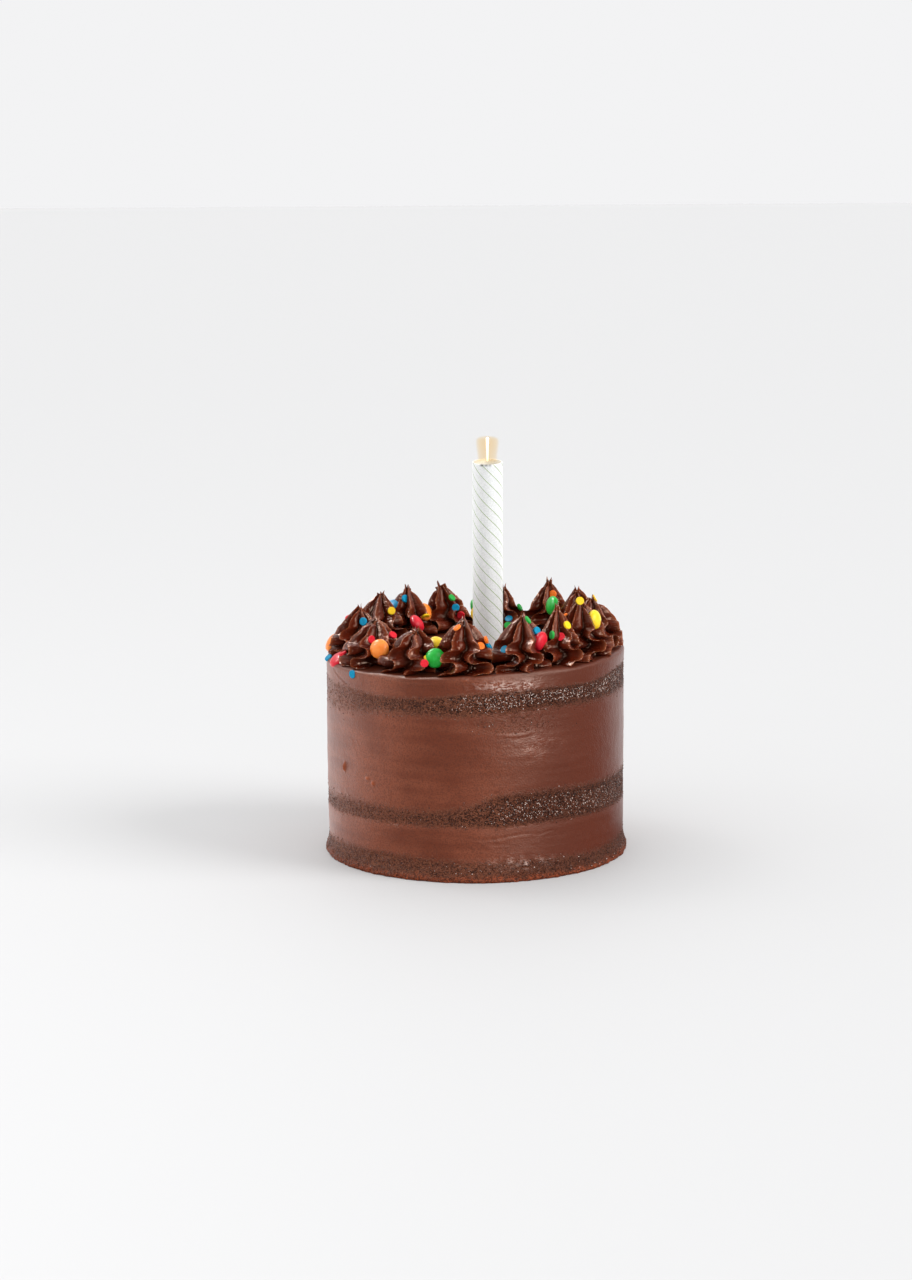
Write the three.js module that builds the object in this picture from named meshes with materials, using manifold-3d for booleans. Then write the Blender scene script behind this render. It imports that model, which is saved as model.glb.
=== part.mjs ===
// A six-inch chocolate birthday cake with a fountain candle. The scraped side shows bands of sponge
// between bands of buttercream, a ring of star-piped kisses stands round the top edge, and sugar
// shells and confetti discs are scattered over the piping. Millimetres, +Z up, the front faces -Y,
// and the origin is the centre of the cake's flat base.
import * as THREE from 'three';
import { mergeVertices } from 'three/addons/utils/BufferGeometryUtils.js';
import Module from 'manifold-3d';

const wasm = await Module();
wasm.setup();

const TURN = 2 * Math.PI;
const UP = new THREE.Vector3(0, 0, 1);
const CONTACT_GAP = 0.3; // left between pieces that touch

// The cake's body
const BODY_RADIUS = 73.8;
const BODY_SIDES = 48;
const CAKE_HEIGHT = 100.5; // at the middle of the top
const TOP_TILT = 0.029; // the top rises this much a millimetre towards +x
const SKIRT = 2.2; // the bottom crumb edge stands out this far
const SKIRT_HEIGHT = 9; // and has faded out this high
const RIM_ROUND = 2; // rounding of the top edge
const SEAM_WANDER = 0.8; // how far a seam strays up and down

// The bands from the base up: where each ends at the middle of the cake, and how far its bare side
// lies back from the smooth buttercream.
const CHOCOLATE = '#643226';
const CRUMB = '#3c231c';
const BANDS = [
  { name: 'sponge_bottom', top: 10, recess: 0.2, colour: CRUMB },
  { name: 'buttercream_lower', top: 26, recess: 0, colour: CHOCOLATE },
  { name: 'sponge_middle', top: 40, recess: 0.3, colour: CRUMB },
  { name: 'buttercream_upper', top: 82, recess: 0, colour: CHOCOLATE },
  { name: 'sponge_top', top: 92, recess: 0.3, colour: CRUMB },
  { name: 'icing_top', top: CAKE_HEIGHT, recess: 0, colour: CHOCOLATE },
];

// The piped kisses: a ring of star-nozzle swirls. bearing is round the cake (0 is the front, 90 is +x),
// lean is how far the tip ends from the middle of its foot, turn is where the first fin stands, fold
// is how high its first fold starts, and tip is the radius of its torn tip. The outline runs in as
// (1 - level ** taper[0]) ** taper[1].
const RING_RADIUS = 58.8;
const KISS_RADIUS = 16.4;
const KISS_FINS = 6;
const KISS_REACH = 73.4; // no kiss reaches further out than this from the cake's axis
const SLIM = [1.1, 1.1];
const PLAIN = [1.35, 1];
const FULL = [1.65, 1];
const KISSES = [
  { bearing: -6, height: 27, size: 1.04, lean: [0.2, 0], turn: -32, fold: 1.5, taper: FULL, tip: 1 },
  { bearing: 21, height: 27, size: 1.03, lean: [1.4, 0.7], turn: -28, fold: 3.2, taper: FULL, tip: 1 },
  { bearing: 42, height: 29, size: 0.96, lean: [0, 0], turn: -22, fold: 2.5, taper: SLIM, tip: 1.2 },
  { bearing: 62, height: 28.5, size: 1.05, lean: [-0.8, -1], turn: -32, fold: 4.4, taper: PLAIN, tip: 1.4 },
  { bearing: 88, height: 25.5, size: 1.0, lean: [-1, -2], turn: 30, fold: 1, taper: FULL, tip: 1.5 },
  { bearing: 115, height: 26, size: 0.97, lean: [-1.6, -1], turn: 8, fold: 3, taper: PLAIN, tip: 1.2 },
  { bearing: 141, height: 28, size: 1.04, lean: [1.2, -1.7], turn: -14, fold: 0, taper: SLIM, tip: 1.6 },
  { bearing: 166, height: 23.5, size: 0.98, lean: [1, -2], turn: 20, fold: 4.6, taper: SLIM, tip: 1.2 },
  { bearing: 193, height: 25.5, size: 1.04, lean: [-4.2, -2], turn: 28, fold: 2, taper: PLAIN, tip: 2.6 },
  { bearing: 216, height: 26, size: 1.0, lean: [0.2, 0], turn: 18, fold: 4.5, taper: PLAIN, tip: 1.8 },
  { bearing: 239, height: 25.5, size: 1.03, lean: [3, 1.5], turn: -8, fold: 1.5, taper: FULL, tip: 1.8 },
  { bearing: 270, height: 25, size: 0.97, lean: [2, -3], turn: 26, fold: 3.5, taper: PLAIN, tip: 1 },
  { bearing: 300, height: 23.5, size: 1.05, lean: [3, 0], turn: -18, fold: 4.5, taper: FULL, tip: 1.2 },
  { bearing: 329, height: 21.5, size: 1.02, lean: [1.6, -1], turn: 4, fold: 2.5, taper: FULL, tip: 1.8 },
];
const GROOVE_AT = 0.62; // where the groove lies between two fins, which lean like blades
const GROOVE_DEPTH = 0.52; // of the fin's radius
const FIN_WOBBLE = 5; // degrees that a fin may stand off its even place
const SIZE_WOBBLE = 0.06; // share by which a kiss is out of round
const FOLD_PITCH = 10; // height of one fold and its return
const FOLD_SWING = 4.2; // sideways swing of the folds at the foot
const FOLD_END = 16; // the folds have died out this high
const FOLD_FADE = 9; // and weaken over this height
const FOLD_DRIFT = 0.5; // radians by which the fins' folds run ahead of each other
const WAISTS = { 3: 2.2, 8: 1.5 }; // how far some kisses, by their place in the list, are nipped in
const WAIST_AT = 11.3; // height of a waist
const WAIST_SPREAD = 2.2; // and how tall it is
const PRONG = 3.5; // how much lower the lowest fin's tip ends than the highest
const NOTCH = 2.5; // depth of the hollow between two tips
const FLARE = 4; // how far a fin spreads at the foot, where its neighbours leave room
const FLARE_HEIGHT = 12; // up to this height
const FLARE_ROOM = 6; // and how much room it takes for the whole flare
const FIN_STEPS = [0, 0.31, GROOVE_AT]; // vertices across one fin and groove
const KISS_LEVELS = [0, 0.09, 0.18, 0.27, 0.37, 0.48, 0.6, 0.78, 0.9, 1]; // rings, of the height

// Sugar shells: lens-shaped chocolate candies. Each lies at a bearing, a distance from the cake's
// axis and a height above its top, and its flat side faces a bearing and an elevation.
const SHELL_DIAMETER = 9.5;
const SHELL_THICKNESS = 5.2;
const SHELL_SIDES = 10;
const SUGAR = {
  red: '#e1283a', orange: '#fa8c3c', yellow: '#fad232', green: '#3cbe4b', blue: '#1496c8',
};
const SHELLS = [
  { colour: 'orange', bearing: -47, radius: 63.4, height: 9.2, facing: -12, rise: 14 },
  { colour: 'green', bearing: -17.5, radius: 64.5, height: 7.2, facing: 4, rise: 12 },
  { colour: 'yellow', bearing: -21, radius: 50, height: 11.2, facing: 60, rise: 55 },
  { colour: 'red', bearing: -136, radius: 42, height: 8.4, facing: 80, rise: 36 },
  { colour: 'red', bearing: -71.5, radius: 70.8, height: 0.8, facing: -62, rise: 50 },
  { colour: 'orange', bearing: -96, radius: 71.8, height: 4, facing: -84, rise: 30 },
  { colour: 'blue', bearing: -139, radius: 64, height: 14.6, facing: -50, rise: 62 },
  { colour: 'orange', bearing: -152.4, radius: 55, height: 10.9, facing: 52, rise: 22 },
  { colour: 'green', bearing: 128, radius: 50, height: 15, facing: -66, rise: 10 },
  { colour: 'red', bearing: 29.2, radius: 63, height: 12.5, facing: 60, rise: -14 },
  { colour: 'yellow', bearing: 63.5, radius: 64.8, height: 17.4, facing: 63, rise: 10 },
  { colour: 'green', bearing: 179, radius: 60, height: 10.4, facing: 80, rise: 20 },
  { colour: 'yellow', bearing: 176.4, radius: 44, height: 10, facing: -8, rise: 16 },
  { colour: 'red', bearing: 104, radius: 66.5, height: 9.5, facing: 104, rise: 24 },
  { colour: 'yellow', bearing: 143, radius: 69.6, height: 6, facing: 140, rise: 30 },
  { colour: 'orange', bearing: 171, radius: 67, height: 9, facing: 172, rise: 18 },
  { colour: 'blue', bearing: 227.5, radius: 67.5, height: 8.4, facing: 222, rise: 22 },
  { colour: 'green', bearing: 254, radius: 65, height: 9.4, facing: 262, rise: 26 },
];

// Confetti: flat sugar discs pressed into a kiss, at a bearing round the kiss and a height up it.
const DISC_DIAMETER = 4;
const DISC_THICKNESS = 1.2;
const DISC_SIDES = 8;
const DISC_SINK = 0.2; // the middle of a disc lies this far out of the surface
const CONFETTI = [
  { kiss: 11, around: 25, height: 16.5, colour: 'blue' },
  { kiss: 11, around: -100, height: 17, colour: 'red' },
  { kiss: 12, around: 90, height: 12.8, colour: 'red' },
  { kiss: 12, around: -5, height: 12.8, colour: 'red' },
  { kiss: 12, around: -80, height: 4.5, colour: 'red' },
  { kiss: 10, around: 50, height: 15.8, colour: 'yellow' },
  { kiss: 9, around: -15, height: 18.8, colour: 'blue' },
  { kiss: 9, around: 78, height: 9.2, colour: 'yellow' },
  { kiss: 8, around: 35, height: 17.2, colour: 'green' },
  { kiss: 8, around: 35, height: 12.8, colour: 'blue' },
  { kiss: 8, around: 55, height: 8.2, colour: 'red' },
  { kiss: 13, around: 20, height: 5.2, colour: 'red' },
  { kiss: 13, around: 32, height: 6, colour: 'yellow' },
  { kiss: 0, around: -35, height: 21.8, colour: 'orange' },
  { kiss: 0, around: 80, height: 12, colour: 'orange' },
  { kiss: 0, around: 95, height: 14, colour: 'orange' },
  { kiss: 0, around: 95, height: 11.8, colour: 'blue' },
  { kiss: 1, around: -70, height: 9.4, colour: 'blue' },
  { kiss: 1, around: 42, height: 23, colour: 'green' },
  { kiss: 1, around: 90, height: 17.2, colour: 'blue' },
  { kiss: 7, around: 85, height: 9.8, colour: 'green' },
  { kiss: 7, around: 22, height: 6, colour: 'blue' },
  { kiss: 7, around: 10, height: 3, colour: 'green' },
  { kiss: 6, around: 40, height: 18.8, colour: 'orange' },
  { kiss: 2, around: -85, height: 14, colour: 'blue' },
  { kiss: 2, around: -22, height: 14.2, colour: 'green' },
  { kiss: 2, around: 20, height: 12.8, colour: 'red' },
  { kiss: 3, around: -22, height: 27, colour: 'yellow' },
  { kiss: 3, around: -90, height: 18.8, colour: 'orange' },
  { kiss: 2, around: 48, height: 18.2, colour: 'yellow' },
  { kiss: 4, around: 150, height: 23.2, colour: 'yellow' },
  { kiss: 4, around: 120, height: 12, colour: 'blue' },
  { kiss: 5, around: 150, height: 15, colour: 'red' },
  { kiss: 5, around: 95, height: 9, colour: 'green' },
  { kiss: 6, around: 165, height: 12, colour: 'blue' },
  { kiss: 7, around: 175, height: 14, colour: 'yellow' },
  { kiss: 8, around: -160, height: 11, colour: 'orange' },
  { kiss: 9, around: -140, height: 15, colour: 'green' },
  { kiss: 10, around: -120, height: 10, colour: 'red' },
  { kiss: 11, around: -60, height: 9, colour: 'yellow' },
];
// Discs that lie on the top icing: where each lies round the cake, how far out along the surface,
// which runs over the rim and down the side, and the bearing that a hanging disc faces.
const FLAT_CONFETTI = [
  { bearing: -53.6, reach: 75.5, facing: -44, colour: 'blue' },
  { bearing: -82, reach: 73.2, facing: -60, colour: 'blue' },
  { bearing: 40, reach: 22, facing: 0, colour: 'green' },
  { bearing: -70, reach: 30, facing: 0, colour: 'yellow' },
  { bearing: 165, reach: 26, facing: 0, colour: 'red' },
  { bearing: 110, reach: 34, facing: 0, colour: 'orange' },
];

// The fountain candle: a paper tube packed with its charge, pushed into the middle of the cake.
const CANDLE_RADIUS = 7.45;
const CANDLE_WALL = 0.9;
const CANDLE_STANDS = 94.5; // above the cake
const CANDLE_SUNK = 12; // in the cake
const CANDLE_FOOT = [6.4, 0.4]; // where its axis meets the top
const CANDLE_LEAN = 5.7; // degrees towards the front
const CHARGE_DROP = 3; // the charge lies this far below the mouth
const CHARGE_BOWL = 0.6; // and is hollowed this deep in its middle
const CANDLE_SIDES = 24;
const PAPER = '#dfe3e2';
const CHARGE = '#cfc3a2';

const radians = THREE.MathUtils.degToRad;

function polar(bearing, radius) {
  return new THREE.Vector2(radius * Math.sin(radians(bearing)), -radius * Math.cos(radians(bearing)));
}

function heading(bearing, rise) {
  const flat = polar(bearing, Math.cos(radians(rise)));
  return new THREE.Vector3(flat.x, flat.y, Math.sin(radians(rise)));
}

function topHeight(x) {
  return CAKE_HEIGHT + TOP_TILT * x;
}

// A closed body from rings of equal length, lowest first, each running anticlockwise seen from above.
function loft(rings, lowMiddle, highMiddle) {
  const sides = rings[0].length;
  const points = [lowMiddle, ...rings.flat(), highMiddle];
  const at = (ring, side) => 1 + ring * sides + (side % sides);
  const faces = [];
  for (let side = 0; side < sides; side += 1) {
    faces.push(0, at(0, side + 1), at(0, side));
    for (let ring = 0; ring + 1 < rings.length; ring += 1) {
      faces.push(at(ring, side), at(ring, side + 1), at(ring + 1, side + 1));
      faces.push(at(ring, side), at(ring + 1, side + 1), at(ring + 1, side));
    }
    faces.push(at(rings.length - 1, side), at(rings.length - 1, side + 1), points.length - 1);
  }
  const geometry = new THREE.BufferGeometry().setFromPoints(points);
  geometry.setIndex(faces);
  return geometry;
}

function toSolid(geometry) {
  const bare = geometry.clone();
  bare.deleteAttribute('normal');
  bare.deleteAttribute('uv');
  const merged = mergeVertices(bare, 1e-5);
  return new wasm.Manifold(new wasm.Mesh({
    numProp: 3,
    vertProperties: new Float32Array(merged.attributes.position.array),
    triVerts: new Uint32Array(merged.index.array),
  }));
}

// The largest body of a solid, without scraps that a cut has left loose.
function largest(solid) {
  return solid.decompose().reduce((best, body) => (body.volume() > best.volume() ? body : best));
}

function toGeometry(solid) {
  const mesh = largest(solid).getMesh();
  const geometry = new THREE.BufferGeometry();
  geometry.setAttribute('position', new THREE.BufferAttribute(mesh.vertProperties, mesh.numProp));
  geometry.setIndex(new THREE.BufferAttribute(mesh.triVerts, 1));
  return geometry;
}

function named(name, geometry, look) {
  geometry.computeVertexNormals();
  const mesh = new THREE.Mesh(geometry, new THREE.MeshStandardMaterial(look));
  mesh.name = name;
  return mesh;
}

// --- the body ------------------------------------------------------------------------------------

function bodyRadius(height, recess) {
  const skirt = SKIRT * Math.max(0, 1 - height / SKIRT_HEIGHT) ** 1.5;
  return BODY_RADIUS + skirt - recess;
}

// One seam's ring: the tilt grows from none at the base to the top's own.
function seamRing(height, radius) {
  const ring = [];
  for (let side = 0; side < BODY_SIDES; side += 1) {
    const angle = (TURN * side) / BODY_SIDES;
    const x = radius * Math.cos(angle);
    const y = radius * Math.sin(angle);
    const inside = height > 0 && height < CAKE_HEIGHT - RIM_ROUND;
    const wander = inside ? SEAM_WANDER * Math.sin(3 * angle + height) : 0;
    const tilt = TOP_TILT * x * (height / CAKE_HEIGHT);
    ring.push(new THREE.Vector3(x, y, height + tilt + wander));
  }
  return ring;
}

// Heights and insets of a band's rings between its two seams.
function bandRings(low, band) {
  const seamRadius = BODY_RADIUS;
  if (low === 0) {
    return [[0, bodyRadius(2, 0) - 1], [2, bodyRadius(2, 0)], [6, bodyRadius(6, 0)], [band.top, seamRadius]];
  }
  if (band.top === CAKE_HEIGHT) {
    const shoulder = CAKE_HEIGHT - RIM_ROUND;
    return [[low, seamRadius], [shoulder, BODY_RADIUS],
      [CAKE_HEIGHT - 0.25 * RIM_ROUND, BODY_RADIUS - 0.35 * RIM_ROUND],
      [CAKE_HEIGHT, BODY_RADIUS - RIM_ROUND]];
  }
  const middle = (low + band.top) / 2;
  return [[low, seamRadius], [middle, bodyRadius(middle, band.recess)], [band.top, seamRadius]];
}

function bandGeometry(low, band) {
  const rings = bandRings(low, band).map(([height, radius]) => seamRing(height, radius));
  return loft(rings, new THREE.Vector3(0, 0, low), new THREE.Vector3(0, 0, band.top));
}

// --- the piped kisses ----------------------------------------------------------------------------

const KISS_FEET = KISSES.map((kiss) => polar(kiss.bearing, RING_RADIUS));

// How far a point of kiss number own may lie from its axis in a direction, before the upright plane
// half way to a neighbour or the rim of the cake.
function cellLimit(own, axis, direction) {
  let limit = Infinity;
  KISS_FEET.forEach((foot, other) => {
    const away = foot.clone().sub(KISS_FEET[own]);
    const spacing = away.length();
    if (other === own || spacing > 3 * KISS_RADIUS) return;
    away.divideScalar(spacing);
    const facing = direction.dot(away);
    const room = KISS_FEET[own].clone().sub(axis).dot(away) + (spacing - CONTACT_GAP) / 2;
    if (facing > 0.01) limit = Math.min(limit, room / facing);
  });
  const along = axis.dot(direction);
  const rim = Math.sqrt(along * along + KISS_REACH ** 2 - axis.lengthSq()) - along;
  return Math.min(limit, rim);
}

// The softened smaller of a radius and its limit, always under the limit.
function squeezed(radius, limit) {
  return radius / (1 + (radius / limit) ** 8) ** (1 / 8);
}

// 1 on a fin's edge and 0 in the groove, for a place across one fin from 0 to 1. The fins are thin at
// the foot and fuller above.
function finShape(across, level) {
  const broad = Math.max(0, 1 - across / GROOVE_AT);
  const steep = Math.max(0, (across - GROOVE_AT) / (1 - GROOVE_AT));
  const thin = Math.max(broad, steep) ** 1.6;
  const full = across < GROOVE_AT ? 1 - (1 - broad) ** 1.5 : steep ** 1.1;
  return THREE.MathUtils.lerp(thin, full, THREE.MathUtils.smoothstep(level, 0.15, 0.6));
}

// How a kiss runs at a fin count round it (3.5 is half way past the fourth fin) and a share of its
// height: its height there, the radius of its fins' edges, and the bearing once the folds swing it.
function kissForm(own, fins, level) {
  const kiss = KISSES[own];
  const height = level * kiss.height;
  const around = (fins / KISS_FINS) * TURN + 2.4 * own;
  const fade = THREE.MathUtils.clamp((FOLD_END - height) / FOLD_FADE, 0, 1) * (1 + 0.15 * Math.sin(around));
  const drift = FOLD_DRIFT * Math.sin(around + 1.7 * own);
  const turning = (TURN * (height - kiss.fold)) / FOLD_PITCH + drift;
  const full = KISS_RADIUS * kiss.size * Math.max(0, 1 - level ** kiss.taper[0]) ** kiss.taper[1];
  const nip = WAISTS[own] ?? 0;
  const waist = nip * Math.exp(-(((height - WAIST_AT) / WAIST_SPREAD) ** 2));
  const uneven = 1 + SIZE_WOBBLE * Math.sin(2 * around + own);
  const ridge = Math.max((full - waist) * uneven, kiss.tip);
  const swing = (FOLD_SWING * fade * Math.sin(turning)) / THREE.MathUtils.clamp(ridge, 5, 13);
  const wobble = FIN_WOBBLE * Math.sin(3 * around + own);
  const bearing = (fins / KISS_FINS) * 360 + kiss.turn + THREE.MathUtils.radToDeg(swing) + wobble;
  return { height, ridge, bearing };
}

function kissPoint(own, fins, level) {
  const kiss = KISSES[own];
  const form = kissForm(own, fins, level);
  const shape = finShape(fins - Math.floor(fins), level);
  const axis = KISS_FEET[own].clone().add(new THREE.Vector2(...kiss.lean).multiplyScalar(level ** 1.5));
  const direction = polar(form.bearing, 1);
  const limit = cellLimit(own, axis, direction);
  const room = THREE.MathUtils.clamp((limit - form.ridge) / FLARE_ROOM, 0, 1);
  const flare = FLARE * room * Math.max(0, 1 - form.height / FLARE_HEIGHT) ** 2;
  const radius = (form.ridge + flare) * (1 - GROOVE_DEPTH * (1 - shape));
  const place = axis.clone().addScaledVector(direction, squeezed(radius, limit));
  const fin = Math.floor(fins + 1 - GROOVE_AT) % KISS_FINS;
  const prong = PRONG * (0.5 + 0.5 * Math.cos(2.6 * fin + own)) * THREE.MathUtils.smoothstep(level, 0.75, 1);
  const notch = NOTCH * (1 - shape) * THREE.MathUtils.smoothstep(level, 0.85, 1);
  const foot = topHeight(place.x) + CONTACT_GAP;
  return new THREE.Vector3(place.x, place.y, foot + form.height - prong - notch);
}

function kissSolid(own) {
  const kiss = KISSES[own];
  const rings = KISS_LEVELS.map((level) => {
    const ring = [];
    for (let fin = 0; fin < KISS_FINS; fin += 1) {
      FIN_STEPS.forEach((step) => ring.push(kissPoint(own, fin + step, level)));
    }
    return ring;
  });
  const foot = KISS_FEET[own];
  const low = new THREE.Vector3(foot.x, foot.y, topHeight(foot.x) + CONTACT_GAP);
  const tip = new THREE.Vector2(...kiss.lean).add(foot);
  const high = new THREE.Vector3(tip.x, tip.y, topHeight(tip.x) + kiss.height - PRONG - NOTCH / 2);
  return toSolid(loft(rings, low, high));
}

// --- sugar shells and confetti -------------------------------------------------------------------

function placed(geometry, middle, axis) {
  const turn = new THREE.Quaternion().setFromUnitVectors(UP, axis);
  return geometry.applyQuaternion(turn).translate(middle.x, middle.y, middle.z);
}

// A lens: two shallow domes that meet in a rounded edge. grow is added all over.
function lens(grow) {
  const radius = SHELL_DIAMETER / 2 + grow;
  const half = SHELL_THICKNESS / 2 + grow;
  const outline = [[0, -half], [0.62 * radius, -0.8 * half], [0.97 * radius, -0.24 * half],
    [0.97 * radius, 0.24 * half], [0.62 * radius, 0.8 * half], [0, half]];
  const profile = outline.map(([across, along]) => new THREE.Vector2(across, along));
  return new THREE.LatheGeometry(profile, SHELL_SIDES).rotateX(Math.PI / 2);
}

function shellPlace(shell) {
  const foot = polar(shell.bearing, shell.radius);
  return new THREE.Vector3(foot.x, foot.y, topHeight(foot.x) + shell.height);
}

function shellGeometry(shell, grow) {
  return placed(lens(grow), shellPlace(shell), heading(shell.facing, shell.rise));
}

function disc() {
  const radius = DISC_DIAMETER / 2;
  return new THREE.CylinderGeometry(radius, radius, DISC_THICKNESS, DISC_SIDES).rotateX(Math.PI / 2);
}

// The fin count at a bearing round a kiss, found by stepping towards it.
function finsAt(own, around, level) {
  let fins = KISS_FINS;
  for (let step = 0; step < 8; step += 1) {
    const off = around - kissForm(own, fins, level).bearing;
    fins += ((THREE.MathUtils.euclideanModulo(off + 180, 360) - 180) / 360) * KISS_FINS;
  }
  return THREE.MathUtils.euclideanModulo(fins, KISS_FINS) + KISS_FINS;
}

function discGeometry({ kiss: own, around, height }) {
  const level = height / KISSES[own].height;
  const fins = finsAt(own, around, level);
  const middle = kissPoint(own, fins, level);
  const across = kissPoint(own, fins + 0.2, level).sub(kissPoint(own, fins - 0.2, level));
  const along = kissPoint(own, fins, level + 0.05).sub(kissPoint(own, fins, level - 0.05));
  const normal = across.cross(along).normalize();
  middle.addScaledVector(normal, DISC_SINK);
  return placed(disc(), middle, normal);
}

function flatDiscGeometry({ bearing, reach, facing }) {
  const over = Math.max(0, reach - BODY_RADIUS + RIM_ROUND);
  const bent = Math.min(over / RIM_ROUND, Math.PI / 2);
  const axis = heading(facing, 90 - THREE.MathUtils.radToDeg(bent));
  const foot = polar(bearing, Math.min(reach, BODY_RADIUS - RIM_ROUND) + RIM_ROUND * Math.sin(bent));
  const drop = RIM_ROUND * (1 - Math.cos(bent)) + over - RIM_ROUND * bent;
  const middle = new THREE.Vector3(foot.x, foot.y, topHeight(foot.x) - drop);
  return placed(disc(), middle.addScaledVector(axis, DISC_SINK), axis);
}

// --- the candle ----------------------------------------------------------------------------------

function alongCandle(geometry) {
  const axis = heading(0, 90 - CANDLE_LEAN);
  const foot = new THREE.Vector3(...CANDLE_FOOT, topHeight(CANDLE_FOOT[0]));
  return placed(geometry.rotateX(Math.PI / 2), foot, axis);
}

function lathe(outline) {
  const profile = outline.map(([across, along]) => new THREE.Vector2(across, along));
  return new THREE.LatheGeometry(profile, CANDLE_SIDES);
}

function candleTube() {
  const inner = CANDLE_RADIUS - CANDLE_WALL;
  const floor = CANDLE_WALL - CANDLE_SUNK;
  return alongCandle(lathe([
    [0, -CANDLE_SUNK], [CANDLE_RADIUS, -CANDLE_SUNK], [CANDLE_RADIUS, CANDLE_STANDS],
    [inner, CANDLE_STANDS], [inner, floor], [0, floor],
  ]));
}

function candleCharge() {
  const radius = CANDLE_RADIUS - CANDLE_WALL - CONTACT_GAP;
  const low = CANDLE_WALL + CONTACT_GAP - CANDLE_SUNK;
  const high = CANDLE_STANDS - CHARGE_DROP;
  const bowl = high - CHARGE_BOWL;
  return alongCandle(lathe([[0, low], [radius, low], [radius, high], [0.3 * radius, bowl], [0, bowl]]));
}

function candleSocket() {
  const radius = CANDLE_RADIUS + CONTACT_GAP;
  const low = -CANDLE_SUNK - CONTACT_GAP;
  const high = CANDLE_STANDS / 4;
  return alongCandle(lathe([[0, low], [radius, low], [radius, high], [0, high]]));
}

// --- the whole cake ------------------------------------------------------------------------------

const cake = new THREE.Group();
const socket = toSolid(candleSocket());
const pockets = SHELLS.map((shell) => toSolid(shellGeometry(shell, CONTACT_GAP)));

function withPockets(solid) {
  return pockets.reduce((left, pocket) => left.subtract(pocket), solid);
}

let low = 0;
BANDS.forEach((band) => {
  let geometry = bandGeometry(low, band);
  if (band.name === 'sponge_top') geometry = toGeometry(toSolid(geometry).subtract(socket));
  if (band.name === 'icing_top') {
    const discs = FLAT_CONFETTI.map((entry) => toSolid(flatDiscGeometry(entry)));
    const dotted = discs.reduce((sum, piece) => sum.add(piece), toSolid(geometry));
    geometry = toGeometry(withPockets(dotted.subtract(socket)));
  }
  cake.add(named(band.name, geometry, { color: band.colour, roughness: 0.6 }));
  low = band.top;
});

KISSES.forEach((kiss, own) => {
  const entries = CONFETTI.filter((entry) => entry.kiss === own);
  const discs = entries.map((entry) => toSolid(discGeometry(entry)));
  const dotted = discs.reduce((sum, piece) => sum.add(piece), kissSolid(own));
  const name = `kiss_${String(own + 1).padStart(2, '0')}`;
  cake.add(named(name, toGeometry(withPockets(dotted)), { color: '#502820', roughness: 0.4 }));
});

SHELLS.forEach((shell, index) => {
  const name = `shell_${String(index + 1).padStart(2, '0')}_${shell.colour}`;
  const geometry = toGeometry(toSolid(shellGeometry(shell, 0)));
  cake.add(named(name, geometry, { color: SUGAR[shell.colour], roughness: 0.25 }));
});

cake.add(named('candle_tube', toGeometry(toSolid(candleTube())), { color: PAPER, roughness: 0.5 }));
cake.add(named('candle_charge', toGeometry(toSolid(candleCharge())), { color: CHARGE, roughness: 0.9 }));

export default cake;
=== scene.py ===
# The looks of a six-inch chocolate birthday cake with a fountain candle: scraped sides with bands of
# open crumb, a ring of star-piped kisses, sugar shells, confetti discs and a paper-wrapped candle.
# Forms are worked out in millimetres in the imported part's frame and become metres in the meshes.
import math

import bpy
import numpy as np
from mathutils import Matrix, Vector


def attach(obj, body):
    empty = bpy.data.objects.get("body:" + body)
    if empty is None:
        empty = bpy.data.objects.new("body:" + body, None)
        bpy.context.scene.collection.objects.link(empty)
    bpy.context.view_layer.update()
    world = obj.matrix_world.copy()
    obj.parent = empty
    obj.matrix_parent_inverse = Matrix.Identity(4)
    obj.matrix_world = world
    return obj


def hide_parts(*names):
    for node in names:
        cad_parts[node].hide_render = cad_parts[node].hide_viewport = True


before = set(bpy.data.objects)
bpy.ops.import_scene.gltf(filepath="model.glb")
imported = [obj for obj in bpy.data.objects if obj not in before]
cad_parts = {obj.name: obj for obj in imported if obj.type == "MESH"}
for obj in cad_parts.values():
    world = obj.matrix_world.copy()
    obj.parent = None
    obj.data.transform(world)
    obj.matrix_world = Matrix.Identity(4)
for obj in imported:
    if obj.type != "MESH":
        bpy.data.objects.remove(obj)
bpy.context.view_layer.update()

MM = 0.001
TURN = 2 * math.pi

# --- sizes in millimetres, and what the part's source has too is the same there -----------------------

BODY_RADIUS = 73.8
CAKE_HEIGHT = 100.5
TOP_TILT = 0.029
SKIRT = 2.2
SKIRT_HEIGHT = 9
FOOT_TUCK = 1
RIM_ROUND = 2
SEAM_WANDER = 0.8
CONTACT_GAP = 0.3
BANDS = [("sponge_bottom", 10), ("buttercream_lower", 26), ("sponge_middle", 40), ("buttercream_upper", 82),
         ("sponge_top", 92), ("icing_top", CAKE_HEIGHT)]
SIDE_COLUMNS = 720
ROW_STEP = 0.7
TOP_STEP = 1

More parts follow.
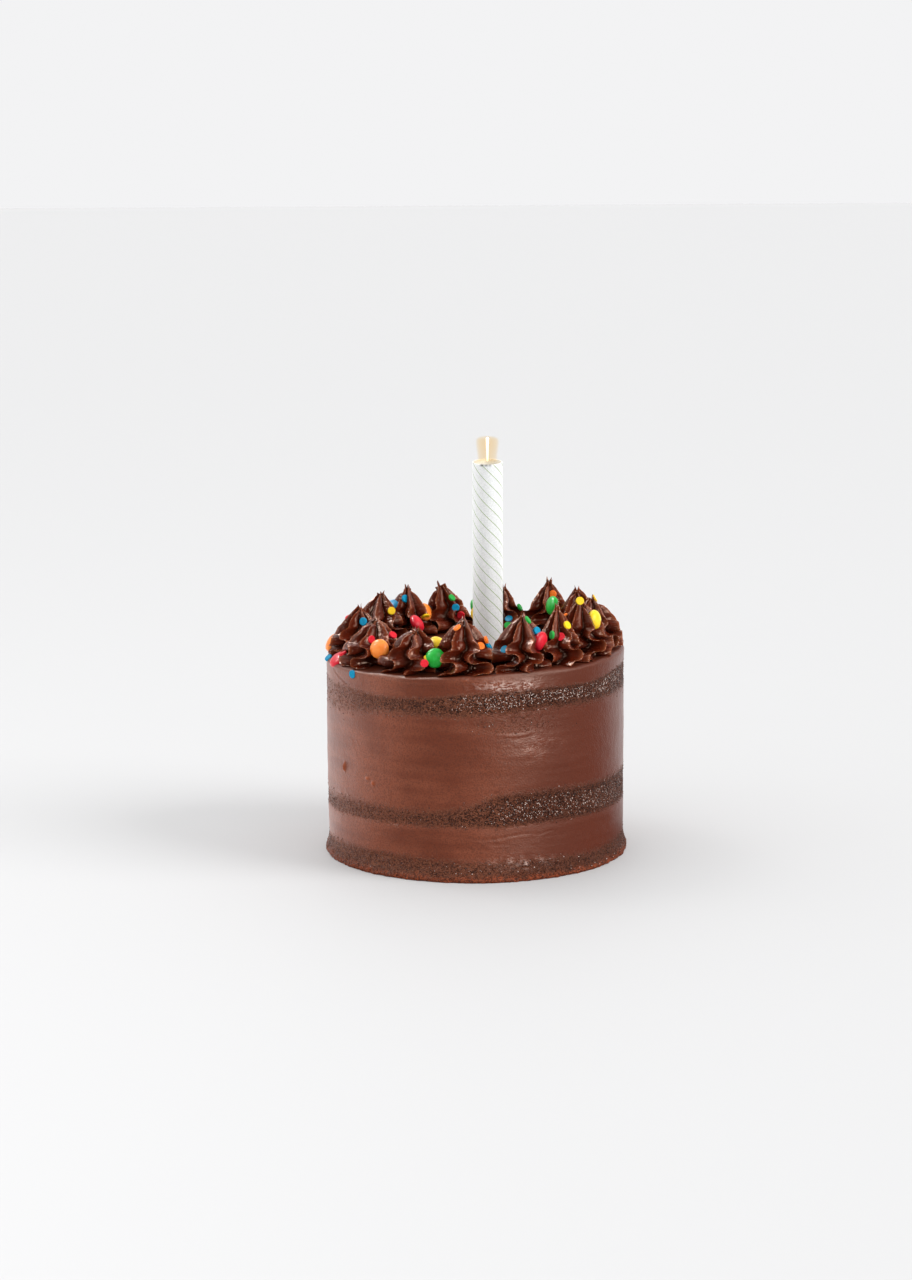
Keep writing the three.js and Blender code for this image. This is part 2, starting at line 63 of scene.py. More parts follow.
# The kisses of the ring: bearing round the cake, height, size, how far the tip leans, where the first
# fin stands, where its first fold starts, how it tapers, its torn tip's radius and how far it is nipped in.
RING_RADIUS = 58.8
KISS_RADIUS = 16.4
KISS_FINS = 6
KISS_REACH = 73.4
KISS_PRESS = 1.8
SLIM, PLAIN, FULL = (1.1, 1.1), (1.35, 1), (1.65, 1)
KISS_TRAITS = ("bearing", "height", "size", "lean", "turn", "fold", "taper", "tip", "waist")
KISSES = [dict(zip(KISS_TRAITS, row)) for row in [
    (-6, 27, 1.04, (0.2, 0), -32, 1.5, FULL, 1, 0),
    (21, 27, 1.03, (1.4, 0.7), -28, 3.2, FULL, 1, 0),
    (42, 29, 0.96, (0, 0), -22, 2.5, SLIM, 1.2, 0),
    (62, 28.5, 1.05, (-0.8, -1), -32, 4.4, PLAIN, 1.4, 2.2),
    (88, 25.5, 1.0, (-1, -2), 30, 1, FULL, 1.5, 0),
    (115, 26, 0.97, (-1.6, -1), 8, 3, PLAIN, 1.2, 0),
    (141, 28, 1.04, (1.2, -1.7), -14, 0, SLIM, 1.6, 0),
    (166, 23.5, 0.98, (1, -2), 20, 4.6, SLIM, 1.2, 0),
    (193, 25.5, 1.04, (-4.2, -2), 28, 2, PLAIN, 2.6, 1.5),
    (216, 26, 1.0, (0.2, 0), 18, 4.5, PLAIN, 1.8, 0),
    (239, 25.5, 1.03, (3, 1.5), -8, 1.5, FULL, 1.8, 0),
    (270, 25, 0.97, (2, -3), 26, 3.5, PLAIN, 1, 0),
    (300, 23.5, 1.05, (3, 0), -18, 4.5, FULL, 1.2, 0),
    (329, 21.5, 1.02, (1.6, -1), 4, 2.5, FULL, 1.8, 0),
]]
GROOVE_AT = 0.62
GROOVE_DEPTH = 0.52
FIN_WOBBLE = 5
SIZE_WOBBLE = 0.06
FOLD_PITCH = 10
FOLD_SWING = 4.2
FOLD_LAP = 1.1
FOLD_END = 16
FOLD_FADE = 9
FOLD_DRIFT = 0.5
WAIST_AT = 11.3
WAIST_SPREAD = 2.2
PRONG = 3.5
NOTCH = 2.5
FLARE = 4
FLARE_HEIGHT = 12
FLARE_ROOM = 6
CREST = 0.8
CREST_WIDTH = 0.03
FIN_COLUMNS = 28
EDGE_CROWDING = 0.85
KISS_RINGS = 88

# Sugar shells: colour, bearing, distance from the cake's axis, height above its top, and the bearing
# and rise that the flat side faces. They stand in the order of the part's nodes.
SHELL_DIAMETER = 9.5
SHELL_THICKNESS = 5.2
SHELLS = [
    ("orange", -47, 63.4, 9.2, -12, 14), ("green", -17.5, 64.5, 7.2, 4, 12),
    ("yellow", -21, 50, 11.2, 60, 55), ("red", -136, 42, 8.4, 80, 36),
    ("red", -71.5, 70.8, 0.8, -62, 50), ("orange", -96, 71.8, 4.0, -84, 30),
    ("blue", -139, 64, 14.6, -50, 62), ("orange", -152.4, 55, 10.9, 52, 22),
    ("green", 128, 50, 15, -66, 10), ("red", 29.2, 63, 12.5, 60, -14),
    ("yellow", 63.5, 64.8, 17.4, 63, 10), ("green", 179, 60, 10.4, 80, 20),
    ("yellow", 176.4, 44, 10, -8, 16), ("red", 104, 66.5, 9.5, 104, 24),
    ("yellow", 143, 69.6, 6, 140, 30), ("orange", 171, 67, 9, 172, 18),
    ("blue", 227.5, 67.5, 8.4, 222, 22), ("green", 254, 65, 9.4, 262, 26),
]

# Confetti discs pressed into a kiss: its place in the list, bearing round it, height up it and colour,
# and those on the top icing: bearing, how far out along the surface, which runs over the rim and down
# the side, the bearing that a hanging disc faces, and colour.
DISC_DIAMETER = 4
DISC_THICKNESS = 1.2
DISC_SINK = 0.2
CONFETTI = [
    (11, 25, 16.5, "blue"), (11, -100, 17, "red"), (12, 90, 12.8, "red"), (12, -5, 12.8, "red"),
    (12, -80, 4.5, "red"), (10, 50, 15.8, "yellow"), (9, -15, 18.8, "blue"), (9, 78, 9.2, "yellow"),
    (8, 35, 17.2, "green"), (8, 35, 12.8, "blue"), (8, 55, 8.2, "red"), (13, 20, 5.2, "red"),
    (13, 32, 6, "yellow"), (0, -35, 21.8, "orange"), (0, 80, 12, "orange"), (0, 95, 14, "orange"),
    (0, 95, 11.8, "blue"), (1, -70, 9.4, "blue"), (1, 42, 23, "green"), (1, 90, 17.2, "blue"),
    (7, 85, 9.8, "green"), (7, 22, 6, "blue"), (7, 10, 3, "green"), (6, 40, 18.8, "orange"),
    (2, -85, 14, "blue"), (2, -22, 14.2, "green"), (2, 20, 12.8, "red"), (3, -22, 27, "yellow"),
    (3, -90, 18.8, "orange"), (2, 48, 18.2, "yellow"), (4, 150, 23.2, "yellow"), (4, 120, 12, "blue"),
    (5, 150, 15, "red"), (5, 95, 9, "green"), (6, 165, 12, "blue"), (7, 175, 14, "yellow"),
    (8, -160, 11, "orange"), (9, -140, 15, "green"), (10, -120, 10, "red"), (11, -60, 9, "yellow"),
]
FLAT_CONFETTI = [(-53.6, 75.5, -44, "blue"), (-82, 73.2, -60, "blue"), (40, 22, 0, "green"),
                 (-70, 30, 0, "yellow"), (165, 26, 0, "red"), (110, 34, 0, "orange")]

# Loose crumbs on the bare sponge: how many, and their least and greatest radius.
CRUMBS_PER_SQUARE_METRE = 500000.0
CRUMB_RADII = (0.14, 0.38)

# The fountain candle: a paper tube packed with its charge, and the flame that stands on it. Its printed
# lines are given by how many start round it, and by their shift as a share of their spacing.
CANDLE_RADIUS = 7.45
CANDLE_WALL = 0.9
CANDLE_STANDS = 94.5
CANDLE_SUNK = 12
CANDLE_FOOT = (6.4, 0.4)
CANDLE_LEAN = 5.7
CHARGE_DROP = 3
CHARGE_BOWL = 0.6
LINE_STARTS = 8
LINE_SHIFT = 0.36
FLAME_HEIGHT = 12.5
FLAME_RADIUS = 5.6
JET_RADIUS = 0.75


# --- small helpers -----------------------------------------------------------------------------------

def linear(hex_colour):
    """The linear colour of an sRGB hex value, with full alpha."""
    channels = [int(hex_colour[i:i + 2], 16) / 255 for i in (1, 3, 5)]
    return tuple(c / 12.92 if c <= 0.04045 else ((c + 0.055) / 1.055) ** 2.4 for c in channels) + (1.0,)


def polar(bearing, radius):
    """x and y of a bearing in degrees (0 is the front, 90 is +x) at a radius."""
    angle = np.radians(bearing)
    return np.stack([radius * np.sin(angle), -radius * np.cos(angle)], axis=-1)


def heading(bearing, rise):
    """The direction of a bearing and a rise, both in degrees."""
    flat = polar(bearing, math.cos(math.radians(rise)))
    return np.array([flat[0], flat[1], math.sin(math.radians(rise))])


def smoothstep(low, high, value):
    """0 up to low and 1 from high on, eased between. low may be the greater."""
    t = np.clip((value - low) / (high - low), 0, 1)
    return t * t * (3 - 2 * t)


def hump(distance, width):
    """1 at no distance, fading to about a third at the width."""
    return np.exp(-(distance / width) ** 2)


def top_height(x):
    """The height of the top icing, which tilts up to the right."""
    return CAKE_HEIGHT + TOP_TILT * x


def lattice(cell, seed):
    """A repeatable 0..1 number for each whole cell."""
    mixed = (cell[..., 0] * 73856093) ^ (cell[..., 1] * 19349663)
    mixed = mixed ^ (cell[..., 2] * 83492791) ^ (seed * 265443)
    mixed = ((mixed ^ (mixed >> 13)) * 1274126177) & 0xFFFFFFFF
    return ((mixed ^ (mixed >> 16)) & 0xFFFF) / 65535


def mottle(points, size, seed):
    """Smooth noise of -1..1 with lumps about size across."""
    scaled = np.asarray(points, float) / size
    cell = np.floor(scaled).astype(np.int64)
    inside = scaled - cell
    blend = inside * inside * (3 - 2 * inside)
    total = np.zeros(scaled.shape[:-1])
    for corner in range(8):
        offset = np.array([corner & 1, (corner >> 1) & 1, corner >> 2])
        weight = np.prod(np.where(offset == 1, blend, 1 - blend), axis=-1)
        total += weight * lattice(cell + offset, seed)
    return 2 * total - 1


def make_mesh(name, points, faces, material, values=None, crease=None):
    """An object from points in millimetres and faces. values are point attributes, crease is in degrees."""
    mesh = bpy.data.meshes.new(name)
    mesh.from_pydata((np.asarray(points, float) * MM).tolist(), [], [tuple(f) for f in faces])
    for key, array in (values or {}).items():
        values_of_points = mesh.attributes.new(key, "FLOAT", "POINT").data
        values_of_points.foreach_set("value", np.asarray(array, np.float32).ravel())
    mesh.shade_smooth()
    if crease:
        mesh.set_sharp_from_angle(angle=math.radians(crease))
    mesh.materials.append(material)
    piece = bpy.data.objects.new(name, mesh)
    bpy.context.scene.collection.objects.link(piece)
    return piece


def dress(piece, nodes):
    """The piece rides the cake and stands for nodes of the part."""
    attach(piece, "root")
    if nodes:
        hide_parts(*nodes)


def grid_faces(rings, sides):
    """Quads of a tube of rings, which run anticlockwise seen from above."""
    ring, side = np.meshgrid(np.arange(rings - 1), np.arange(sides), indexing="ij")
    a = ring * sides + side
    b = ring * sides + (side + 1) % sides
    return np.stack([a, b, b + sides, a + sides], axis=-1).reshape(-1, 4).tolist()


def cap_faces(ring_start, sides, middle, upward):
    """Triangles from a ring to its middle point."""
    side = np.arange(sides)
    a, b = ring_start + side, ring_start + (side + 1) % sides
    middles = np.full(sides, middle)
    order = (a, b, middles) if upward else (b, a, middles)
    return np.stack(order, axis=-1).tolist()


def closed_tube(rings):
    """Points and faces of a closed body from an array of rings, lowest first."""
    count, sides = rings.shape[:2]
    points = np.vstack([rings.reshape(-1, 3), rings[0].mean(axis=0), rings[-1].mean(axis=0)])
    faces = grid_faces(count, sides)
    faces += cap_faces(0, sides, len(points) - 2, upward=False)
    faces += cap_faces((count - 1) * sides, sides, len(points) - 1, upward=True)
    return points, faces


def with_caps(array):
    """A point attribute of the rings, carried on to the two cap middles."""
    return np.concatenate([array.ravel(), [array[0].mean(), array[-1].mean()]])


def turned_body(profile, sides):
    """A closed body turned round z from (radius, height) pairs, lowest first."""
    bearing = np.arange(sides) * 360 / sides
    rings = [np.concatenate([polar(bearing, radius), np.full((sides, 1), height)], axis=-1)
             for radius, height in profile]
    return closed_tube(np.array(rings))


# --- materials ---------------------------------------------------------------------------------------

EASED = {"interpolation_type": "SMOOTHSTEP"}
TIMES = {"operation": "MULTIPLY"}


def give(taker, **inputs):
    """Sets or links a node's inputs, by name or identifier. A hex value is a colour, and a node that is
    given stands for the first of its outputs that is in use."""
    for key, value in inputs.items():
        socket = next(s for s in taker.inputs if s.identifier == key or s.name == key.replace("_", " "))
        if isinstance(value, bpy.types.Node):
            value = next(s for s in value.outputs if s.enabled)
        if isinstance(value, bpy.types.NodeSocket):
            taker.id_data.links.new(value, socket)
        elif isinstance(value, str) and value.startswith("#"):
            socket.default_value = linear(value)
        else:
            socket.default_value = value


def node(tree, kind, settings=None, **inputs):
    """Adds a node. settings are its own properties, and its inputs are as in give."""
    made = tree.nodes.new(kind)
    for key, value in (settings or {}).items():
        setattr(made, key, value)
    give(made, **inputs)
    return made


def new_material(name, **values):
    """A named material, its tree and its shader, with values set on the shader's own sockets."""
    material = bpy.data.materials.new(name)
    material.use_nodes = True
    shader = next(n for n in material.node_tree.nodes if n.type == "BSDF_PRINCIPLED")
    give(shader, **values)
    return material, material.node_tree, shader


def per_metre(size):
    """How many grains of a size in millimetres lie along a metre, which is what a texture's scale asks."""
    return 1000 / size


def weighted(tree, *terms):
    """The sum of values, each times its weight."""
    total = 0.0
    for value, weight in terms:
        total = node(tree, "ShaderNodeMath", {"operation": "MULTIPLY_ADD"}, Value=value, Value_001=weight,
                     Value_002=total)
    return total


def layered(tree, colour, *layers):
    """A colour with others laid over it in turn, each by its share."""
    for share, over in layers:
        colour = node(tree, "ShaderNodeMix", {"data_type": "RGBA"}, Factor_Float=share, A_Color=colour,
                      B_Color=over)
    return colour


# The warm tints of what glints on the scraped and on the piped buttercream.
COCOA_FAT = (1.0, 0.82, 0.7, 1.0)
PIPED_FAT = (1.0, 0.68, 0.52, 1.0)


def scraped_cake(name):
    """Chocolate buttercream drawn flat with a scraper: satin, with fine level streaks. Where it is bare,
    the sponge shows as dark open crumb, with painted glints on single crumbs. A painted pale highlight
    lies on the shiny patches, and painted shade to the right of the front and on the top. The crumb is
    drawn coarser than the finest real one, so that it shows."""
    material, tree, shader = new_material(name, IOR=1.46, Specular_Tint=COCOA_FAT)
    place = node(tree, "ShaderNodeTexCoord").outputs["Object"]
    crumb, shine, painted_glint_share, painted_shade, baked, lifted = [
        node(tree, "ShaderNodeAttribute", {"attribute_name": look}).outputs["Fac"]
        for look in ("crumb", "shine", "painted_glint_share", "painted_shade", "baked", "lifted")]
    level = node(tree, "ShaderNodeMapping", Vector=place, Scale=(0.1, 0.1, 1.0))
    crinkled = node(tree, "ShaderNodeMapping", Vector=place, Scale=(0.4, 0.4, 1.0))
    grains = node(tree, "ShaderNodeTexNoise", Vector=place, Scale=per_metre(1.1), Detail=3)
    specks = node(tree, "ShaderNodeTexNoise", Vector=place, Scale=per_metre(0.7), Detail=1)
    swells = node(tree, "ShaderNodeTexNoise", Vector=place, Scale=per_metre(3.5), Detail=2)
    drifts = node(tree, "ShaderNodeTexNoise", Vector=place, Scale=per_metre(30), Detail=2)
    patches = node(tree, "ShaderNodeTexNoise", Vector=level, Scale=per_metre(7), Detail=3)
    streaks = node(tree, "ShaderNodeTexNoise", Vector=crinkled, Scale=per_metre(0.9), Detail=3)
    clods = node(tree, "ShaderNodeTexVoronoi", Vector=place, Scale=per_metre(0.52))
    share = node(tree, "ShaderNodeSeparateColor", Color=clods.outputs["Color"])
    flakes = node(tree, "ShaderNodeTexVoronoi", Vector=place, Scale=per_metre(0.38))
    flake = node(tree, "ShaderNodeSeparateColor", Color=flakes.outputs["Color"])

    # The buttercream, darker in patches and specks, with painted shade to the right of the front and on the
    # top.
    tones = weighted(tree, (patches, 0.5), (drifts, 0.5))
    tone = node(tree, "ShaderNodeMapRange", EASED, Value=tones, From_Min=0.4, From_Max=0.6)
    speckled = node(tree, "ShaderNodeMapRange", EASED, Value=specks, From_Min=0.4, From_Max=0.7, To_Max=0.6)
    cream = layered(tree, "#70321d", (tone, "#85442d"), (speckled, "#57291b"), (painted_shade, "#5c2615"))

    # The open crumb, darker where painted shade lies, and the browned crust at the foot.
    openness = weighted(tree, (crumb, 0.95), (share, 0.45), (grains, 0.8))
    bare = node(tree, "ShaderNodeMapRange", EASED, Value=openness, From_Min=0.9, From_Max=1.35)
    paler = node(tree, "ShaderNodeMapRange", EASED, Value=share, From_Min=0.1, From_Max=0.9)
    shaded = node(tree, "ShaderNodeMapRange", EASED, Value=painted_shade, To_Max=0.42)
    open_crumb = layered(tree, "#29100a", (paler, "#7c4833"), (shaded, "#230d08"))
    browned = node(tree, "ShaderNodeMapRange", EASED, Value=share, From_Min=0.1, From_Max=0.7)
    crust = layered(tree, "#4a1d0f", (browned, "#96492d"))

    # Painted glints on single crumbs, and a painted pale highlight in streaks on the shiny patches.
    glint_cells = node(tree, "ShaderNodeMath", TIMES, Value=flake, Value_001=crumb)
    glint_cells = node(tree, "ShaderNodeMapRange", EASED, Value=glint_cells, From_Min=0.88, From_Max=0.93)
    glint = node(tree, "ShaderNodeMath", TIMES, Value=glint_cells, Value_001=painted_glint_share)
    # The painted pale highlight: streaks where the buttercream shines most.
    crinkles = node(tree, "ShaderNodeMapRange", EASED, Value=streaks, From_Min=0.45, From_Max=0.6)
    shiniest = node(tree, "ShaderNodeMath", TIMES, Value=shine, Value_001=shine)
    painted_highlight = node(tree, "ShaderNodeMath", TIMES, Value=crinkles, Value_001=shiniest)
    colour = layered(tree, cream, (bare, open_crumb), (baked, crust), (lifted, "#a4512e"),
                     (glint, "#d9c6bd"), (painted_highlight, "#c8aca1"))

    satin = node(tree, "ShaderNodeMapRange", EASED, Value=bare, To_Min=0.42, To_Max=0.5)
    gloss = node(tree, "ShaderNodeMapRange", EASED, Value=bare, To_Min=0.45, To_Max=0.15)
    lumps = weighted(tree, (grains, 0.0008), (clods.outputs["Distance"], -0.0005))
    broken = node(tree, "ShaderNodeMath", TIMES, Value=lumps, Value_001=bare)
    torn = node(tree, "ShaderNodeMath", TIMES, Value=streaks, Value_001=shine)
    height = weighted(tree, (broken, 1.0), (torn, 0.001), (patches, 0.0002), (specks, 0.00014),
                      (swells, 0.0002))
    relief = node(tree, "ShaderNodeBump", Strength=1.0, Distance=1.0, Height=height)
    give(shader, Base_Color=colour, Roughness=weighted(tree, (satin, 1.0), (shine, -0.24)),
         Specular_IOR_Level=gloss, Normal=relief)
    return material


def loose_crumb():
    """Torn chocolate sponge: dark and open, with painted glints on single crumbs. The crumbs are
    coarser than the finest real ones, so that they show."""
    material, tree, shader = new_material("chocolate_sponge_crumb", IOR=1.45, Roughness=0.45,
                                          Specular_IOR_Level=0.3)
    place = node(tree, "ShaderNodeTexCoord").outputs["Object"]
    painted_glint_share = node(tree, "ShaderNodeAttribute", {"attribute_name": "painted_glint_share"}).outputs["Fac"]
    clods = node(tree, "ShaderNodeTexVoronoi", Vector=place, Scale=per_metre(0.6))
    share = node(tree, "ShaderNodeSeparateColor", Color=clods.outputs["Color"])
    paler = node(tree, "ShaderNodeMapRange", EASED, Value=share, From_Min=0.1, From_Max=0.9)
    # Painted glints: a few pale crumbs, more to the right of the front.
    glint_cells = node(tree, "ShaderNodeMapRange", EASED, Value=share, From_Min=0.92, From_Max=0.95)
    glint = node(tree, "ShaderNodeMath", TIMES, Value=glint_cells, Value_001=painted_glint_share)
    pores = node(tree, "ShaderNodeTexNoise", Vector=place, Scale=per_metre(0.4), Detail=2)
    height = weighted(tree, (pores, 0.0002))
    relief = node(tree, "ShaderNodeBump", Strength=1.0, Distance=1.0, Height=height)
    give(shader, Base_Color=layered(tree, "#2c1109", (paler, "#6c3a28"), (glint, "#d9c6bd")), Normal=relief)
    return material


def piped_buttercream():
    """Whipped chocolate buttercream out of a star nozzle: satin with a soft gloss and burst bubbles, drawn
    coarse enough to show. Its fins' thin edges are painted lighter, for light through them and their
    highlight, with painted sparkles on them, and its grooves get painted shade."""
    material, tree, shader = new_material(
        "chocolate_buttercream_piped", IOR=1.46, Specular_IOR_Level=0.36, Roughness=0.16,
        Specular_Tint=PIPED_FAT, Subsurface_Weight=0.1, Subsurface_Radius=(1.0, 0.4, 0.25),
        Subsurface_Scale=0.001)
    place = node(tree, "ShaderNodeTexCoord").outputs["Object"]
    # How much the fins' thin edges get painted light, for light through them and their highlight.
    ridge = node(tree, "ShaderNodeAttribute", {"attribute_name": "ridge"}).outputs["Fac"]
    # Painted shade in the grooves between the fins.
    groove = node(tree, "ShaderNodeAttribute", {"attribute_name": "groove"}).outputs["Fac"]
    swirls = node(tree, "ShaderNodeTexNoise", Vector=place, Scale=per_metre(6), Detail=3)
    ripples = node(tree, "ShaderNodeTexNoise", Vector=place, Scale=per_metre(3), Detail=2)
    grains = node(tree, "ShaderNodeTexNoise", Vector=place, Scale=per_metre(0.9), Detail=3)
    bubbles = node(tree, "ShaderNodeTexNoise", Vector=place, Scale=per_metre(0.75), Detail=1)
    flakes = node(tree, "ShaderNodeTexVoronoi", Vector=place, Scale=per_metre(0.4))
    flake = node(tree, "ShaderNodeSeparateColor", Color=flakes.outputs["Color"])
    redder = node(tree, "ShaderNodeMapRange", EASED, Value=swirls, From_Min=0.35, From_Max=0.65)
    # Painted sparkles: a few bright cells on the fins' edges.
    bright = node(tree, "ShaderNodeMapRange", EASED, Value=flake, From_Min=0.86, From_Max=0.92)
    on_edge = node(tree, "ShaderNodeMapRange", EASED, Value=ridge, From_Min=0.3, From_Max=0.7, To_Max=0.75)
    painted_sparkle = node(tree, "ShaderNodeMath", TIMES, Value=bright, Value_001=on_edge)
    burst = node(tree, "ShaderNodeMapRange", EASED, Value=bubbles, From_Min=0.42, From_Max=0.3, To_Max=-1.0)
    height = weighted(tree, (grains, 0.00013), (burst, 0.0001), (ripples, 0.00025))
    relief = node(tree, "ShaderNodeBump", Strength=1.0, Distance=1.0, Height=height)
    # The fins' edges get painted light, the grooves painted shade, and the edges painted sparkles.
    colour = layered(tree, "#421005", (redder, "#591a09"), (ridge, "#985233"), (groove, "#1e0803"),
                     (painted_sparkle, "#e0b8a6"))
    give(shader, Base_Color=colour, Normal=relief)
    return material


def sugar_shell(colour, low, high):
    """A panned sugar shell: hard and softly polished, with a faint orange-peel surface."""
    material, tree, shader = new_material(
        "sugar_shell_panned_" + colour, IOR=1.5, Roughness=0.38, Subsurface_Weight=0.1,
        Subsurface_Radius=(1.0, 1.0, 1.0), Subsurface_Scale=0.0006, Specular_IOR_Level=0.25,
        Coat_Weight=0.08, Coat_Roughness=0.12)
    place = node(tree, "ShaderNodeTexCoord").outputs["Object"]
    clouds = node(tree, "ShaderNodeTexNoise", Vector=place, Scale=per_metre(2.5), Detail=2)
    cloudy = node(tree, "ShaderNodeMapRange", EASED, Value=clouds, From_Min=0.35, From_Max=0.65)
    peel = node(tree, "ShaderNodeTexNoise", Vector=place, Scale=per_metre(1.2), Detail=1)
    height = weighted(tree, (peel, 0.00006))
    relief = node(tree, "ShaderNodeBump", Strength=1.0, Distance=1.0, Height=height)
    give(shader, Base_Color=layered(tree, low, (cloudy, high)), Normal=relief)
    return material


def pressed_sugar(colour, low, high):
    """Confetti: pressed coloured sugar, matt, with a fine grain that is drawn coarse enough to show."""
    material, tree, shader = new_material("sugar_disc_pressed_" + colour, IOR=1.5, Roughness=0.5,
                                          Specular_IOR_Level=0.1)
    place = node(tree, "ShaderNodeTexCoord").outputs["Object"]
    clouds = node(tree, "ShaderNodeTexNoise", Vector=place, Scale=per_metre(0.8), Detail=1)
    cloudy = node(tree, "ShaderNodeMapRange", EASED, Value=clouds, From_Min=0.35, From_Max=0.65)
    grains = node(tree, "ShaderNodeTexNoise", Vector=place, Scale=per_metre(0.5), Detail=1)
    height = weighted(tree, (grains, 0.00005))
    relief = node(tree, "ShaderNodeBump", Strength=1.0, Distance=1.0, Height=height)
    give(shader, Base_Color=layered(tree, low, (cloudy, high)), Normal=relief)
    return material


SHELL_COLOURS = dict(red=("#d3162a", "#dd2034"), orange=("#fc862c", "#ff9640"), yellow=("#f7cb14", "#fad52a"),
                     green=("#1fb238", "#2cc048"), blue=("#0088b8", "#0098c8"))
DISC_COLOURS = dict(red=("#d81c2c", "#e32a38"), orange=("#f9741c", "#ff842c"), yellow=("#f6c514", "#fad024"),
                    green=("#1f9a38", "#2aa844"), blue=("#0083ac", "#0092ba"))


def along_candle(tree):
    """x, y and z from the candle's foot, with z up its axis, as sockets in metres."""
    place = node(tree, "ShaderNodeTexCoord").outputs["Object"]
    foot = [CANDLE_FOOT[0] * MM, CANDLE_FOOT[1] * MM, top_height(CANDLE_FOOT[0]) * MM]
    own = node(tree, "ShaderNodeMapping", {"vector_type": "TEXTURE"}, Vector=place, Location=foot,
               Rotation=(math.radians(CANDLE_LEAN), 0, 0))
    parts = node(tree, "ShaderNodeSeparateXYZ", Vector=own)
    return parts.outputs["X"], parts.outputs["Y"], parts.outputs["Z"]


def wrapped_paper():
    """Pearly white wrapping paper with fine gold-green lines that wind down round the tube. Its fibres are
    drawn coarser than real ones, so that they show."""
    material, tree, shader = new_material("pearl_paper_printed", IOR=1.5, Roughness=0.38,
                                          Specular_IOR_Level=0.4)
    place = node(tree, "ShaderNodeTexCoord").outputs["Object"]
    outside = node(tree, "ShaderNodeAttribute", {"attribute_name": "outside"}).outputs["Fac"]
    soot = node(tree, "ShaderNodeAttribute", {"attribute_name": "soot"}).outputs["Fac"]
    x, y, z = along_candle(tree)
    front = node(tree, "ShaderNodeMath", TIMES, Value=y, Value_001=-1.0)
    round_tube = node(tree, "ShaderNodeMath", {"operation": "ARCTAN2"}, Value=x, Value_001=front)
    pitch = TURN * CANDLE_RADIUS / LINE_STARTS * MM
    winding = weighted(tree, (z, 1 / pitch), (round_tube, LINE_STARTS / TURN))
    shifted = node(tree, "ShaderNodeMath", {"operation": "ADD"}, Value=winding, Value_001=LINE_SHIFT)
    from_line = node(tree, "ShaderNodeMath", {"operation": "PINGPONG"}, Value=shifted, Value_001=0.5)
    on_line = node(tree, "ShaderNodeMapRange", EASED, Value=from_line, From_Min=0.018, From_Max=0.042,
                   To_Min=1.0, To_Max=0.0)
    printed = node(tree, "ShaderNodeMath", TIMES, Value=on_line, Value_001=outside)
    pulp = node(tree, "ShaderNodeTexNoise", Vector=place, Scale=per_metre(0.6), Detail=2)
    fibres = node(tree, "ShaderNodeMapRange", EASED, Value=pulp, From_Min=0.35, From_Max=0.65)
    height = weighted(tree, (fibres, 0.00003))
    relief = node(tree, "ShaderNodeBump", Strength=1.0, Distance=1.0, Height=height)
    colour = layered(tree, "#e2e4e3", (fibres, "#f0f2f1"), (printed, "#7c9a1c"), (soot, "#2a2523"))
    give(shader, Base_Color=colour, Normal=relief)
    return material


def pressed_powder():
    """The candle's charge: pressed beige powder, dull, with grains drawn coarse enough to show."""
    material, tree, shader = new_material("firework_powder_pressed", Roughness=0.9, Specular_IOR_Level=0.2)
    place = node(tree, "ShaderNodeTexCoord").outputs["Object"]
    powder = node(tree, "ShaderNodeTexNoise", Vector=place, Scale=per_metre(0.8), Detail=2)
    grains = node(tree, "ShaderNodeMapRange", EASED, Value=powder, From_Min=0.4, From_Max=0.6)
    give(shader, Base_Color=layered(tree, "#cdbfa0", (grains, "#f2e9d6")))
    return material


def hot_gas():
    """The flame's veil: clear gas that tints what shows through it gold."""
    material = bpy.data.materials.new("flame_veil_gas")
    material.use_nodes = True
    tree = material.node_tree
    tree.nodes.clear()
    veil = node(tree, "ShaderNodeVolumeAbsorption", Color=(0.975, 0.68, 0.15, 1.0), Density=75.0)
    node(tree, "ShaderNodeOutputMaterial", Volume=veil)
    return material


def white_jet():
    """The burning jet: white hot, and yellow where it leaves the charge."""
    material, tree, shader = new_material("flame_jet_gas", Base_Color="#fff6e0", Roughness=1.0,
                                          Emission_Strength=1.1)
    heat = node(tree, "ShaderNodeMapRange", EASED, Value=along_candle(tree)[2],
                From_Min=(CANDLE_STANDS - CHARGE_DROP) * MM, From_Max=(CANDLE_STANDS + 4) * MM)
    give(shader, Emission_Color=layered(tree, "#ffc860", (heat, "#fffdf6")))
    return material


# --- the scraped side and the top --------------------------------------------------------------------

# Where the scraper has bared the sponge: at these bearings, the heights of each bare band's foot and
# head, and how much of the upper one is bare.
BARE_AT = [-180, -120, -80, -59, -39, -21, -6, 9, 26, 48, 71, 110, 150, 180]
TOP_BARE_FOOT = [80, 78, 76, 77, 81, 81.5, 81.4, 82.7, 84.5, 84.4, 84.7, 84, 82, 80]
TOP_BARE_HEAD = [92, 91, 90.5, 90, 88.5, 89.3, 91.6, 92.8, 93.4, 92.8, 96, 94, 93, 92]
TOP_BARE_SHARE = [0.8, 0.7, 0.5, 0.55, 0.75, 0.85, 0.95, 1, 1, 1, 1, 0.9, 0.8, 0.8]
MIDDLE_BARE_FOOT = [25.5, 25.2, 24, 25, 25.6, 26.3, 26.4, 26.6, 28, 27.4, 27.7, 27, 26, 25.5]
MIDDLE_BARE_HEAD = [36, 33.5, 32.5, 35, 35.6, 35, 36.5, 43, 43.6, 43, 42.9, 42, 39, 36]
BASE_BARE_HEAD = [9, 9.5, 10.5, 11.8, 12.5, 12, 11, 11, 11, 9.5, 11.5, 10, 9, 9]

